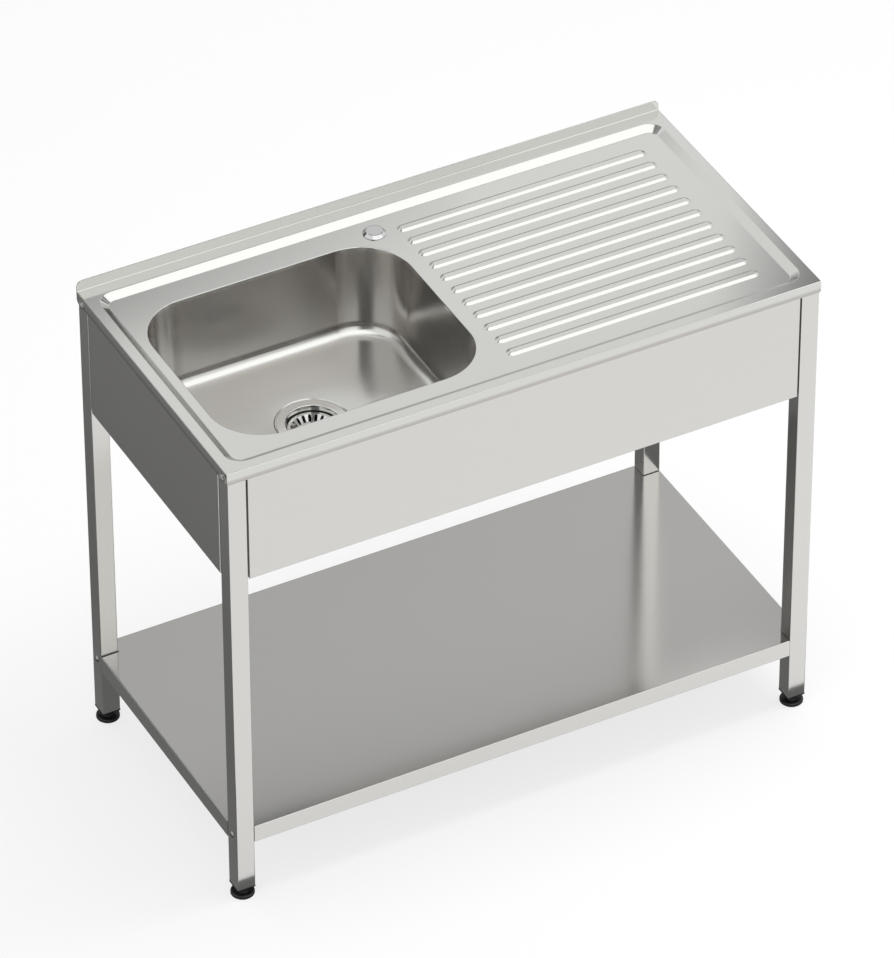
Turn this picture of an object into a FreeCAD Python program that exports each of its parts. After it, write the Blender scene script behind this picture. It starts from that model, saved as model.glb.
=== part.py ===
import FreeCAD, Part
import os
import re

import Sketcher
from FreeCAD import Placement, Rotation, Vector

# Kitchen sink unit: a pressed stainless steel top with one bowl on the left and a ribbed
# drainer on the right, on four square tube legs with aprons between them and an open shelf.
# Frame: millimetres, +Z up, front towards -Y, origin on the floor under the middle of the top.

# ---------------------------------------------------------------- driving dimensions

# Lengths in millimetres and one angle in degrees, each under the name that the formulas use.
SIZES = {
    # The whole unit
    "unit_width": 1000,  # rim, left to right
    "unit_depth": 504,  # rim, front to back
    "unit_height": 848,  # floor to the top of the upstand

    # Pressed top: rim, folds and upstand
    "top_sheet": 0.8,  # thickness of the pressed top
    "upstand_height": 18,  # rear upstand above the rim
    "upstand_corner": 10,  # radius of the upstand's top corners
    "upstand_bend_radius": 1.2,  # inside radius between the rim and the upstand
    "bend_radius": 1.5,  # outer radius of every folded edge
    "fold_height": 20,  # front and side folds, rim to lower edge
    "fold_corner": 8,  # radius of the side folds' lower rear corners
    "fold_end_corner": 4,  # radius of the front fold's lower corners
    "corner_slit": 5,  # open slit in each side fold, behind the front fold
    "rim_side": 17,  # flat rim at the left and at the right
    "rim_front": 18,  # flat rim at the front
    "rim_rear": 25,  # flat rim at the rear, under the upstand
    "step_run": 13,  # width of the slope from the rim to the sunk deck
    "recess_depth": 8,  # rim to sunk deck
    "recess_corner": 28,  # plan radius of the sunk deck at the rim
    "step_blend": 1.6,  # blend radius along both edges of the slope

    # Bowl
    "bowl_margin_left": 46,  # rim's left edge to the bowl mouth
    "bowl_margin_front": 63,  # rim's front edge to the bowl mouth
    "bowl_margin_rear": 83,  # bowl mouth to the rim's rear edge
    "bowl_width": 432,  # bowl mouth, left to right
    "bowl_corner": 85,  # plan radius of the bowl mouth
    "bowl_depth": 152,  # sunk deck to bowl floor
    "bowl_draft": 3.5,  # lean of the bowl walls, in degrees
    "bowl_floor_blend": 20,  # radius between the walls and the floor
    "bowl_mouth_blend": 1.6,  # radius round the bowl mouth
    "dish_margin": 3.7,  # flat floor between the wall's blend and the dished middle
    "dish_drop": 5,  # fall of the floor from there to the waste
    "land_radius": 57.5,  # flat seat of the waste flange
    "land_drop": 1.5,  # small step down to that seat

    # Ribbed drainer
    "rib_count": 11,  # ribs across the drainer
    "rib_pitch": 35,  # rib to rib
    "rib_width": 19,  # rib at its foot
    "rib_slope": 5.1,  # run of a rib's sloping side
    "rib_height": 2.8,  # rib above the sunk deck
    "rib_margin_left": 24,  # bowl mouth to the rib ends
    "rib_margin_right": 68,  # rib ends to the rim's right edge

    # Tap hole and its cover
    "tap_hole_radius": 16,  # tap hole
    "tap_inset": 11,  # tap hole centre to the left of the bowl mouth's right side
    "tap_setback": 12,  # tap hole centre behind the bowl mouth's rear side
    "cover_radius": 18,  # cover at its foot
    "cover_flat_radius": 12.5,  # flat top of the cover
    "cover_height": 5.5,  # cover above the sunk deck
    "cover_edge": 1.0,  # upright edge at the cover's foot
    "cover_wall": 1.2,  # thickness of the cover
    "clip_radius": 15.6,  # sprung fingers of the clip, inside the tap hole
    "clip_wall": 1.8,  # thickness of the clip's ring and fingers
    "clip_depth": 14,  # clip below the sunk deck
    "clip_slit": 7,  # gap between two fingers

    # Legs
    "leg_width": 30,  # side of the square tube
    "leg_wall": 1.2,  # wall of the tube
    "leg_corner": 1.5,  # outer corner radius of the tube
    "part_gap": 0.2,  # assembly clearance between touching sheet parts
    "leg_top_gap": 0.3,  # leg end to the underside of the sunk deck

    # Aprons
    "apron_drop": 209,  # rim to the aprons' lower edge
    "apron_sheet": 1.0,  # thickness of the aprons
    "apron_flange": 12,  # inward flange round each apron
    "apron_gap": 2.7,  # apron end to leg

    # Shelf
    "shelf_height": 138,  # floor to the top of the shelf
    "shelf_edge": 30,  # folded edge of the shelf
    "shelf_sheet": 1.0,  # thickness of the shelf
    "shelf_gap": 0.3,  # shelf to leg, at the bolted side of a corner notch
    "notch_gap": 1.2,  # shelf to leg, at the other side of a corner notch

    # Folded channels that stiffen the shelf and the drainer
    "channel_sheet": 1.2,  # thickness of the channels
    "channel_flange": 15,  # flange at each side of a channel
    "shelf_channel_width": 70,  # shelf channel, without its flanges
    "shelf_channel_height": 22,  # shelf channel
    "shelf_channel_margin": 60,  # channel end to the shelf's end
    "drainer_channel_width": 40,  # drainer channel, without its flanges
    "drainer_channel_height": 20,  # drainer channel
    "drainer_channel_margin": 12,  # channel end to the foot of the slope
    "drainer_channel_inset": 110,  # rib ends to the middle of the nearest channel

    # Screws, bolts and nuts
    "screw_radius": 2.4,  # shank of screws and bolts
    "screw_hole_radius": 2.75,  # clearance hole for them
    "head_radius": 6.3,  # round head
    "head_height": 3.2,  # round head
    "nut_across_flats": 8,  # nut
    "nut_thickness": 4,  # nut
    "nut_bore_radius": 2.5,  # nut
    "top_screw_drop": 15,  # rim to the screws in the side folds
    "top_screw_length": 10,  # screw under its head
    "shelf_bolt_drop": 14.5,  # shelf top to the shelf bolts
    "shelf_bolt_length": 40,  # bolt under its head

    # Levelling feet and end plugs
    "foot_height": 20.5,  # floor to the tube's lower end, feet screwed in
    "plug_lip": 2,  # lip of the end plug under the tube
    "plug_overhang": 0.4,  # lip beyond the faces of the tube
    "plug_depth": 24,  # end plug inside the tube
    "pad_radius": 18.8,  # foot pad
    "pad_thickness": 7,  # foot pad at its rim
    "pad_chamfer": 1.6,  # chamfer round the pad's lower edge
    "pad_blend": 2.5,  # rounding of the pad's upper edge
    "hub_radius": 9.5,  # raised middle of the pad
    "hub_height": 11,  # floor to the top of the raised middle
    "stud_radius": 4.95,  # threaded stud
    "stud_clearance": 0.07,  # stud to the plug's threaded hole
    "stud_length": 46,  # stud above its hexagon
    "hexagon_across_flats": 14,  # hexagon of the stud
    "hexagon_thickness": 4,  # hexagon of the stud
    "stud_tip_radius": 4.2,  # plain end of the stud, inside the pad
    "stud_tip_length": 7,  # plain end of the stud
    "running_gap": 0.3,  # clearance round parts that move in others

    # Basket waste
    "waste_hole_radius": 45,  # hole in the bowl floor
    "flange_radius": 56,  # ring seen in the bowl floor
    "flange_sheet": 1.2,  # thickness of the ring and its cup
    "flange_seal": 0.8,  # thin seal under the ring
    "mouth_radius": 42,  # opening of the ring
    "mouth_blend": 2,  # rounding of that opening
    "seat_depth": 13,  # rim of the cup down to the basket's seat
    "cup_radius": 36.5,  # cup below the seat, inside
    "cup_depth": 28,  # seat of the ring down to the cup's floor
    "cup_hole_radius": 8.5,  # outlet holes in the cup's floor
    "cup_hole_count": 6,  # outlet holes in the cup's floor
    "cup_hole_ring": 22,  # radius of the circle they lie on
    "gasket_thickness": 3,  # gasket under the bowl
    "body_flange_radius": 54,  # plastic body's flange
    "body_flange_thickness": 4,  # plastic body's flange
    "body_radius": 44.2,  # plastic body, inside
    "body_wall": 3,  # wall of the plastic body
    "body_depth": 34,  # gasket down to the start of the body's cone
    "cone_height": 12,  # cone between the body and its tail
    "tail_radius": 23.9,  # threaded tail, outside
    "tail_bore_radius": 20.5,  # threaded tail, inside
    "tail_length": 30,  # threaded tail
    "clamp_radius": 3,  # central screw
    "clamp_head_radius": 6.5,  # head of the central screw
    "clamp_head_height": 3,  # head of the central screw
    "hub_wall": 4,  # wall of the body's middle hub
    "spoke_thickness": 3,  # ribs that carry the hub
    "spoke_count": 3,  # ribs that carry the hub

    # Basket of the waste
    "basket_rim_radius": 38.5,  # rim of the basket
    "basket_wall_radius": 34.5,  # basket just under its rim
    "basket_sheet": 1.0,  # thickness of the basket
    "basket_floor_radius": 27,  # floor of the basket
    "basket_depth": 9,  # rim of the basket down to its floor
    "slot_count": 20,  # slots round the basket
    "slot_width": 4.6,  # slot
    "slot_inner_radius": 25,  # waste axis to a slot's inner end
    "slot_outer_radius": 34,  # waste axis to a slot's outer end
    "basket_seal_radius": 39.9,  # rubber ring, outside
    "basket_seal_height": 3,  # rubber ring
    "knob_radius": 8,  # knob of the basket
    "knob_waist_radius": 4,  # stem of the knob
    "knob_height": 13,  # knob above the basket's floor
    "knob_head_height": 5,  # rounded upper end of the knob

    # Damping pad under the bowl
    "damping_inner_radius": 66,  # pad's hole round the waste
    "damping_margin": 6,  # pad's edge inside the dished middle of the floor
    "damping_thickness": 2.5,  # pad
}

document = FreeCAD.newDocument("KitchenSinkUnit")
sheet = document.addObject("Spreadsheet::Sheet", "Sizes")
for row, (size_name, value) in enumerate(SIZES.items(), start=1):
    sheet.set(f"A{row}", size_name)
    sheet.set(f"B{row}", str(value))
    sheet.setAlias(f"B{row}", size_name)
document.recompute()


# ---------------------------------------------------------------- places worked out from the sizes

rim_top = "(unit_height - upstand_height)"
deck_top = f"({rim_top} - recess_depth)"
bowl_floor = f"({deck_top} - bowl_depth)"
waste_seat = f"({bowl_floor} - dish_drop - land_drop)"
right_edge = "(unit_width / 2)"
rear_face = "(unit_depth / 2)"
hem = "(2 * top_sheet)"
leg_inset = f"({hem} + part_gap)"
leg_x = f"({right_edge} - {leg_inset} - leg_width / 2)"
leg_y = f"({rear_face} - {leg_inset} - leg_width / 2)"
leg_top = f"({deck_top} - top_sheet - leg_top_gap)"
bowl_length = "(unit_depth - bowl_margin_front - bowl_margin_rear)"
bowl_x = f"(bowl_margin_left + bowl_width / 2 - {right_edge})"
bowl_y = "((bowl_margin_front - bowl_margin_rear) / 2)"
floor_half = f"(min(bowl_width; {bowl_length}) / 2 - bowl_depth * tan(bowl_draft * 1 deg) - bowl_floor_blend)"
dish_radius = f"({floor_half} - dish_margin)"
damping_radius = f"({dish_radius} - damping_margin)"
recess_y = "((rim_front - rim_rear) / 2)"
rib_length = "(unit_width - bowl_margin_left - bowl_width - rib_margin_left - rib_margin_right)"
rib_x = f"({right_edge} - rib_margin_right - {rib_length} / 2)"
tap_x = f"({bowl_x} + bowl_width / 2 - tap_inset)"
tap_y = f"({bowl_y} + {bowl_length} / 2 + tap_setback)"


# ---------------------------------------------------------------- helpers

def bound(formula):
    """The formula with each size name pointing into the sheet."""
    return re.sub(r"[a-z][a-z_]+", lambda word: f"Sizes.{word[0]}" if word[0] in SIZES else word[0], formula)


def number(formula):
    """The present value of a formula."""
    result = sheet.evalExpression(bound(formula))
    return float(getattr(result, "Value", result))


def follow(item, target, formula):
    """Tie a property of a document object to a formula over the sheet."""
    item.setExpression(target, bound(formula))


def new_body(label):
    body = document.addObject("PartDesign::Body", label)
    body.Label = label
    return body


def place(item, x="0", y="0", z="0", turn=0):
    """Put a sub-part at its place, turned about the vertical by some degrees."""
    item.Placement = Placement(Vector(), Rotation(Vector(0, 0, 1), turn))
    for axis, formula in zip("xyz", (x, y, z)):
        follow(item, f"Placement.Base.{axis}", formula)


def new_sketch(body, name, plane="XY_Plane", offset="0", shift="0"):
    """Empty sketch on one of the body's own origin planes, moved along its normal and its X axis."""
    sketch = body.newObject("Sketcher::SketchObject", name)
    planes = {feature.Role: feature for feature in body.Origin.OriginFeatures}
    sketch.AttachmentSupport = (planes[plane], [""])
    sketch.MapMode = "FlatFace"
    follow(sketch, "AttachmentOffset.Base.z", offset)
    follow(sketch, "AttachmentOffset.Base.x", shift)
    return sketch


def constrain(sketch, formula, kind, *references):
    """Add one dimension to a sketch and tie it to its formula."""
    index = sketch.addConstraint(Sketcher.Constraint(kind, *references, number(formula)))
    follow(sketch, f"Constraints[{index}]", formula)


def fix_point(sketch, geometry, point, x, y):
    """Dimension a point of a sketch from the sketch's origin."""
    constrain(sketch, x, "DistanceX", -1, 1, geometry, point)
    constrain(sketch, y, "DistanceY", -1, 1, geometry, point)


def arc_between(start, end, radius, centre_on_left):
    """Arc of less than half a turn from start to end, as a counter-clockwise piece of a circle."""
    along = end - start
    side = Vector(-along.y, along.x, 0).normalize() * (1 if centre_on_left else -1)
    centre = (start + end) / 2 + side * (radius ** 2 - (along.Length / 2) ** 2) ** 0.5
    first, last = (start, end) if centre_on_left else (end, start)
    circle = Part.Circle(centre, Vector(0, 0, 1), radius)
    return Part.ArcOfCircle(circle, circle.parameter(first), circle.parameter(last))


def add_outline(sketch, corners, arcs=None):
    """Closed outline through the corners; arcs maps a side's index to (radius, centre on the left)."""
    arcs = arcs or {}
    points = [Vector(number(x), number(y), 0) for x, y in corners]
    ends = []
    for index, start in enumerate(points):
        end = points[(index + 1) % len(points)]
        if index in arcs:
            radius, centre_on_left = arcs[index]
            geometry = sketch.addGeometry(arc_between(start, end, number(radius), centre_on_left), False)
            ends.append((geometry, 1, 2) if centre_on_left else (geometry, 2, 1))
        else:
            geometry = sketch.addGeometry(Part.LineSegment(start, end), False)
            ends.append((geometry, 1, 2))
    for index, (x, y) in enumerate(corners):
        geometry, start, end = ends[index]
        following, following_start, _ = ends[(index + 1) % len(ends)]
        sketch.addConstraint(Sketcher.Constraint("Coincident", geometry, end, following, following_start))
        fix_point(sketch, geometry, start, x, y)
        if index in arcs:
            constrain(sketch, arcs[index][0], "Radius", geometry)


def add_rectangle(sketch, x_low, x_high, y_low, y_high):
    add_outline(sketch, [(x_low, y_low), (x_high, y_low), (x_high, y_high), (x_low, y_high)])


def add_circle(sketch, radius, x="0", y="0"):
    circle = Part.Circle(Vector(number(x), number(y), 0), Vector(0, 0, 1), number(radius))
    geometry = sketch.addGeometry(circle, False)
    fix_point(sketch, geometry, 3, x, y)
    constrain(sketch, radius, "Radius", geometry)


def add_rounded_rectangle(sketch, x, y, half_width, half_depth, radius):
    """Rectangle about (x, y) whose corners are tangent quarter circles."""
    reach_x = f"(({half_width}) - ({radius}))"
    reach_y = f"(({half_depth}) - ({radius}))"
    centres = [(f"{x} + {reach_x}", f"{y} + {reach_y}"),
               (f"{x} - {reach_x}", f"{y} + {reach_y}"),
               (f"{x} - {reach_x}", f"{y} - {reach_y}"),
               (f"{x} + {reach_x}", f"{y} - {reach_y}")]
    add_tangent_arcs(sketch, centres, radius)


def add_slot(sketch, x, y, half_length, radius):
    """Slot along X about (x, y), with round ends."""
    reach = f"(({half_length}) - ({radius}))"
    add_tangent_arcs(sketch, [(f"{x} + {reach}", y), (f"{x} - {reach}", y)], radius)


def add_tangent_arcs(sketch, centres, radius):
    """Equal arcs about the centres, counter-clockwise, joined by tangent lines."""
    count = len(centres)
    sweep = 360 / count
    first_angle = -90 if count == 2 else 0
    length = number(radius)
    arcs = []
    for index, (x, y) in enumerate(centres):
        turn = Rotation(Vector(0, 0, 1), first_angle + index * sweep)
        centre = Vector(number(x), number(y), 0)
        circle = Part.Circle(centre, Vector(0, 0, 1), length)
        start = centre + turn.multVec(Vector(length, 0, 0))
        end = centre + Rotation(Vector(0, 0, 1), sweep).multVec(start - centre)
        arc = Part.ArcOfCircle(circle, circle.parameter(start), circle.parameter(end))
        arcs.append((sketch.addGeometry(arc, False), start, end))
    for index, (arc, _, end) in enumerate(arcs):
        following, start, _ = arcs[(index + 1) % count]
        line = sketch.addGeometry(Part.LineSegment(end, start), False)
        sketch.addConstraint(Sketcher.Constraint("Tangent", arc, 2, line, 1))
        sketch.addConstraint(Sketcher.Constraint("Tangent", line, 2, following, 1))
    for (arc, _, _), (x, y) in zip(arcs, centres):
        fix_point(sketch, arc, 3, x, y)
        constrain(sketch, radius, "Radius", arc)


def pad(body, sketch, length, downward=False, both_ways=False):
    feature = body.newObject("PartDesign::Pad", sketch.Name + "_pad")
    feature.Profile = sketch
    follow(feature, "Length", length)
    feature.Reversed = downward
    feature.Midplane = both_ways
    document.recompute()
    return feature


def pocket(body, sketch, length, along_normal=False, both_ways=False):
    """Cut a sketch into the body, against the sketch's normal unless told otherwise."""
    before = body.Tip.Shape.Volume
    feature = body.newObject("PartDesign::Pocket", sketch.Name + "_pocket")
    feature.Profile = sketch
    follow(feature, "Length", length)
    feature.Reversed = along_normal
    feature.Midplane = both_ways
    document.recompute()
    assert feature.Shape.Volume < before, f"{feature.Name} cuts nothing"
    return feature


def loft(body, kind, first, second):
    """Ruled loft between two sketches; kind is Additive or Subtractive."""
    feature = body.newObject(f"PartDesign::{kind}Loft", first.Name + "_loft")
    feature.Profile = first
    feature.Sections = [(second, [""])]
    feature.Ruled = True
    document.recompute()
    return feature


def revolve(body, kind, sketch, axis="V_Axis"):
    """Turn a sketch about one of its axes; kind is Revolution or Groove."""
    feature = body.newObject(f"PartDesign::{kind}", sketch.Name + "_turn")
    feature.Profile = sketch
    feature.ReferenceAxis = (sketch, [axis])
    feature.Angle = 360
    document.recompute()
    return feature


def row_pattern(body, original, sketch, length, count):
    """Repeat a feature along its sketch's Y axis."""
    feature = body.newObject("PartDesign::LinearPattern", original.Name + "_row")
    feature.Originals = [original]
    feature.Direction = (sketch, ["V_Axis"])
    follow(feature, "Length", length)
    follow(feature, "Occurrences", count)
    body.Tip = feature
    document.recompute()


def ring_pattern(body, original, sketch, count):
    """Repeat a feature round its sketch's normal axis."""
    feature = body.newObject("PartDesign::PolarPattern", original.Name + "_ring")
    feature.Originals = [original]
    feature.Axis = (sketch, ["N_Axis"])
    feature.Angle = 360
    follow(feature, "Occurrences", count)
    body.Tip = feature
    document.recompute()


def blend(body, name, radius, chosen):
    """Round the edges of the body's present shape that the test picks by their bounding box."""
    base = body.Tip
    edges = [f"Edge{index}" for index, edge in enumerate(base.Shape.Edges, 1) if chosen(edge.BoundBox)]
    feature = body.newObject("PartDesign::Fillet", name)
    feature.Base = (base, edges)
    follow(feature, "Radius", radius)
    document.recompute()
    return feature


def near(value, formula, margin=0.01):
    return abs(value - number(formula)) < margin


def level(box, height, margin=0.01):
    """Whether an edge lies flat at a height."""
    return near(box.ZMin, height, margin) and near(box.ZMax, height, margin)


def within(box, x, y, half_width, half_depth):
    """Whether an edge lies inside a rectangle about (x, y), seen from above."""
    return (abs(box.Center.x - number(x)) < number(half_width)
            and abs(box.Center.y - number(y)) < number(half_depth))


# ---------------------------------------------------------------- pressed top

def build_rim(body):
    """Flat sheet with its hemmed front and side folds and the rear upstand."""
    plate = new_sketch(body, "rim_plate", offset=rim_top)
    add_rectangle(plate, f"-{right_edge}", right_edge, f"-{rear_face}", rear_face)
    pad(body, plate, "top_sheet", downward=True)

    folds = new_sketch(body, "folds", offset=rim_top)
    inner_x = f"({right_edge} - {hem})"
    add_outline(folds,
                [(f"-{right_edge}", rear_face), (f"-{right_edge}", f"-{rear_face}"),
                 (right_edge, f"-{rear_face}"), (right_edge, rear_face),
                 (inner_x, rear_face), (inner_x, f"{hem} - {rear_face}"),
                 (f"-{inner_x}", f"{hem} - {rear_face}"), (f"-{inner_x}", rear_face)])
    pad(body, folds, "fold_height", downward=True)
    blend(body, "fold_bends", "bend_radius",
          lambda box: near(box.ZMax, rim_top)
          and (near(box.YMax, f"-{rear_face}")
               or (level(box, rim_top) and near(abs(box.Center.x), right_edge) and box.XLength < 0.01)))
    blend(body, "fold_corners", "fold_corner",
          lambda box: level(box, f"{rim_top} - fold_height") and near(box.YMin, rear_face))

    lower_edge = f"({rim_top} - fold_height)"
    ends = new_sketch(body, "front_fold_ends", plane="XZ_Plane", offset=f"{rear_face} + 1")
    for sign in ("-", ""):
        add_outline(ends,
                    [(f"{sign}({right_edge} + 1)", f"{lower_edge} - 1"),
                     (f"{sign}({right_edge} + 1)", f"{lower_edge} + fold_end_corner"),
                     (f"{sign}{right_edge}", f"{lower_edge} + fold_end_corner"),
                     (f"{sign}({right_edge} - fold_end_corner)", lower_edge),
                     (f"{sign}({right_edge} - fold_end_corner)", f"{lower_edge} - 1")],
                    arcs={2: ("fold_end_corner", sign == "-")})
    pocket(body, ends, f"{hem} + 1")
    slits = new_sketch(body, "corner_slits", offset=f"{rim_top} - bend_radius")
    for sign in ("-", ""):
        low, high = (f"-{right_edge} - 1", f"-{inner_x}") if sign else (inner_x, f"{right_edge} + 1")
        add_rectangle(slits, low, high, f"{hem} - {rear_face}", f"{hem} + corner_slit - {rear_face}")
    pocket(body, slits, "fold_height")

    upstand = new_sketch(body, "upstand", offset=f"{rim_top} - {hem}")
    add_rectangle(upstand, f"-{right_edge}", right_edge, f"{rear_face} - {hem}", rear_face)
    pad(body, upstand, f"upstand_height + {hem}")
    blend(body, "upstand_corners", "upstand_corner",
          lambda box: level(box, "unit_height") and box.XLength < 0.01 and box.YLength < number(hem) + 0.01)
    blend(body, "upstand_bend", "upstand_bend_radius",
          lambda box: level(box, rim_top) and near(box.YMin, f"{rear_face} - {hem}")
          and near(box.YMax, f"{rear_face} - {hem}"))


def step_outline(body, name, height, inward, outward):
    """Outline of the sunk deck, inset from the rim's inner edge, grown by the sheet's own shift."""
    sketch = new_sketch(body, name, offset=height)
    add_rounded_rectangle(sketch, "0", recess_y,
                          f"{right_edge} - rim_side - {inward} + {outward}",
                          f"{rear_face} - (rim_front + rim_rear) / 2 - {inward} + {outward}",
                          f"recess_corner - {inward} + {outward}")
    return sketch


def build_recess(body):
    """Sunk deck: a sloping step all round, pressed down from the rim."""
    lower_shift = "top_sheet * tan(atan(recess_depth / step_run) / 2)"
    loft(body, "Additive",
         step_outline(body, "recess_under_rim", f"{rim_top} - top_sheet", "0", lower_shift),
         step_outline(body, "recess_under_deck", f"{deck_top} - top_sheet", "step_run", lower_shift))
    loft(body, "Subtractive",
         step_outline(body, "recess_at_rim", rim_top, "0", "0"),
         step_outline(body, "recess_at_deck", deck_top, "step_run", "0"))
    blend(body, "recess_upper_edge", "step_blend",
          lambda box: level(box, rim_top) and within(box, "0", recess_y,
                                                      f"{right_edge} - rim_side + 1",
                                                      f"{rear_face} - (rim_front + rim_rear) / 2 + 1"))
    blend(body, "recess_lower_edge", "step_blend", lambda box: level(box, deck_top))


def bowl_outline(body, name, height, depth, outward):
    """Outline of the bowl at a depth below the sunk deck."""
    sketch = new_sketch(body, name, offset=height)
    change = f"({outward} - ({depth}) * tan(bowl_draft * 1 deg))"
    add_rounded_rectangle(sketch, bowl_x, bowl_y, f"bowl_width / 2 + {change}",
                          f"{bowl_length} / 2 + {change}", f"bowl_corner + {change}")
    return sketch


def build_bowl(body):
    """Drawn bowl with leaning walls, a rolled mouth and a wide blend into its floor."""
    wall = "top_sheet / cos(bowl_draft * 1 deg)"
    loft(body, "Additive",
         bowl_outline(body, "bowl_under_mouth", f"{deck_top} - top_sheet", "top_sheet", wall),
         bowl_outline(body, "bowl_under_floor", f"{bowl_floor} - top_sheet", "bowl_depth + top_sheet", wall))
    loft(body, "Subtractive",
         bowl_outline(body, "bowl_at_mouth", deck_top, "0", "0"),
         bowl_outline(body, "bowl_at_floor", bowl_floor, "bowl_depth", "0"))
    blend(body, "bowl_floor_inside", "bowl_floor_blend", lambda box: level(box, bowl_floor))
    blend(body, "bowl_floor_outside", "bowl_floor_blend + top_sheet",
          lambda box: level(box, f"{bowl_floor} - top_sheet"))
    blend(body, "bowl_mouth_inside", "bowl_mouth_blend",
          lambda box: level(box, deck_top) and at_bowl(box))
    blend(body, "bowl_mouth_outside", "bowl_mouth_blend - top_sheet",
          lambda box: level(box, f"{deck_top} - top_sheet") and at_bowl(box))


def at_bowl(box):
    return within(box, bowl_x, bowl_y, "bowl_width / 2 + 5", f"{bowl_length} / 2 + 5")


land_edge = "(land_radius + land_drop)"
dish_curve = f"((({dish_radius} - {land_edge}) ^ 2 + dish_drop ^ 2) / (2 * dish_drop))"


def dish_height(radius):
    """Height of the dished floor at a distance from the waste's axis."""
    return f"({bowl_floor} - {dish_curve} + sqrt({dish_curve} ^ 2 - ({dish_radius} - {radius}) ^ 2))"


def dish_profile(body, name, lowered, widened):
    """Half section of the dished floor: an arc down to the flat seat of the waste."""
    sketch = new_sketch(body, name, plane="XZ_Plane", offset=f"-{bowl_y}", shift=bowl_x)
    top = f"{bowl_floor} - {lowered}"
    curve = f"(({dish_radius} - {land_edge} - {widened}) ^ 2 + dish_drop ^ 2) / (2 * dish_drop)"
    add_outline(sketch,
                [("0", top),
                 (dish_radius, top),
                 (f"{land_edge} + {widened}", f"{top} - dish_drop"),
                 (f"land_radius + {widened}", f"{waste_seat} - {lowered}"),
                 ("0", f"{waste_seat} - {lowered}")],
                arcs={1: (curve, True)})
    return sketch


def build_dish(body):
    """Fall of the floor to the waste, and the holes for the waste and the tap."""
    lower_shift = "top_sheet * tan(22.5 deg)"
    revolve(body, "Revolution", dish_profile(body, "dish_outside", "top_sheet", lower_shift))
    revolve(body, "Groove", dish_profile(body, "dish_inside", "0", "0"))
    waste_hole = new_sketch(body, "waste_hole", offset=bowl_floor)
    add_circle(waste_hole, "waste_hole_radius", bowl_x, bowl_y)
    pocket(body, waste_hole, "dish_drop + land_drop + 2 * top_sheet")
    tap_hole = new_sketch(body, "tap_hole", offset=deck_top)
    add_circle(tap_hole, "tap_hole_radius", tap_x, tap_y)
    pocket(body, tap_hole, "2 * top_sheet")


def rib_outline(body, name, height, inward):
    """Outline of the front rib at one height; its sides and ends lean."""
    sketch = new_sketch(body, name, offset=height)
    first_y = f"({recess_y} - rib_pitch * (rib_count - 1) / 2)"
    add_slot(sketch, rib_x, first_y, f"{rib_length} / 2 - {inward}", f"rib_width / 2 - {inward}")
    return sketch


def build_ribs(body):
    """Raised ribs of the drainer, hollow underneath like the rest of the sheet."""
    lower_shift = "top_sheet * tan(atan(rib_height / rib_slope) / 2)"
    row = "rib_pitch * (rib_count - 1)"
    foot = rib_outline(body, "rib_foot", deck_top, "0")
    crest = rib_outline(body, "rib_crest", f"{deck_top} + rib_height", "rib_slope")
    row_pattern(body, loft(body, "Additive", foot, crest), foot, row, "rib_count")
    under_foot = rib_outline(body, "rib_under_foot", f"{deck_top} - top_sheet", lower_shift)
    under_crest = rib_outline(body, "rib_under_crest", f"{deck_top} + rib_height - top_sheet",
                              f"(rib_slope + {lower_shift})")
    row_pattern(body, loft(body, "Subtractive", under_foot, under_crest), under_foot, row, "rib_count")


def build_top_screw_holes(body):
    """Clearance holes for the leg screws in the side folds."""
    holes = new_sketch(body, "top_screw_holes", plane="YZ_Plane")
    for sign in ("-", ""):
        add_circle(holes, "screw_hole_radius", f"{sign}{leg_y}", f"{rim_top} - top_screw_drop")
    pocket(body, holes, "unit_width + 2", both_ways=True)


def build_sink_top():
    body = new_body("sink_top")
    build_rim(body)
    build_top_screw_holes(body)
    build_recess(body)
    build_bowl(body)
    build_dish(body)
    build_ribs(body)
    place(body)
    return body


# ---------------------------------------------------------------- legs, plugs and feet

def build_leg(label, x_sign, y_sign):
    """Square tube with a screw hole near its top and a bolt hole at the shelf."""
    body = new_body(label)
    section = new_sketch(body, label + "_section")
    add_rounded_rectangle(section, "0", "0", "leg_width / 2", "leg_width / 2", "leg_corner")
    add_rounded_rectangle(section, "0", "0", "leg_width / 2 - leg_wall", "leg_width / 2 - leg_wall",
                          "leg_corner - leg_wall")
    pad(body, section, f"{leg_top} - foot_height")
    top_hole = new_sketch(body, label + "_top_hole", plane="YZ_Plane")
    add_circle(top_hole, "screw_hole_radius", "0", f"{rim_top} - top_screw_drop - foot_height")
    pocket(body, top_hole, "leg_width")
    shelf_hole = new_sketch(body, label + "_shelf_hole", plane="YZ_Plane")
    add_circle(shelf_hole, "screw_hole_radius", "0", "shelf_height - shelf_bolt_drop - foot_height")
    pocket(body, shelf_hole, "2 * leg_width", both_ways=True)
    place(body, f"{x_sign}{leg_x}", f"{y_sign}{leg_y}", "foot_height", turn=180 if x_sign == "" else 0)
    return body


def build_leg_plug(label, x_sign, y_sign):
    """Square plastic plug with a lip under the tube and a threaded hole for the foot."""
    body = new_body(label)
    lip = new_sketch(body, label + "_lip")
    lip_half = "leg_width / 2 + plug_overhang"
    add_rounded_rectangle(lip, "0", "0", lip_half, lip_half, "leg_corner + plug_overhang")
    pad(body, lip, "plug_lip", downward=True)
    insert = new_sketch(body, label + "_insert")
    half = "leg_width / 2 - leg_wall - part_gap"
    add_rounded_rectangle(insert, "0", "0", half, half, "leg_corner - leg_wall")
    pad(body, insert, "plug_depth")
    thread = new_sketch(body, label + "_thread", offset="plug_depth")
    add_circle(thread, "stud_radius + stud_clearance")
    pocket(body, thread, "plug_depth + plug_lip")
    place(body, f"{x_sign}{leg_x}", f"{y_sign}{leg_y}", "foot_height")
    return body


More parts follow.
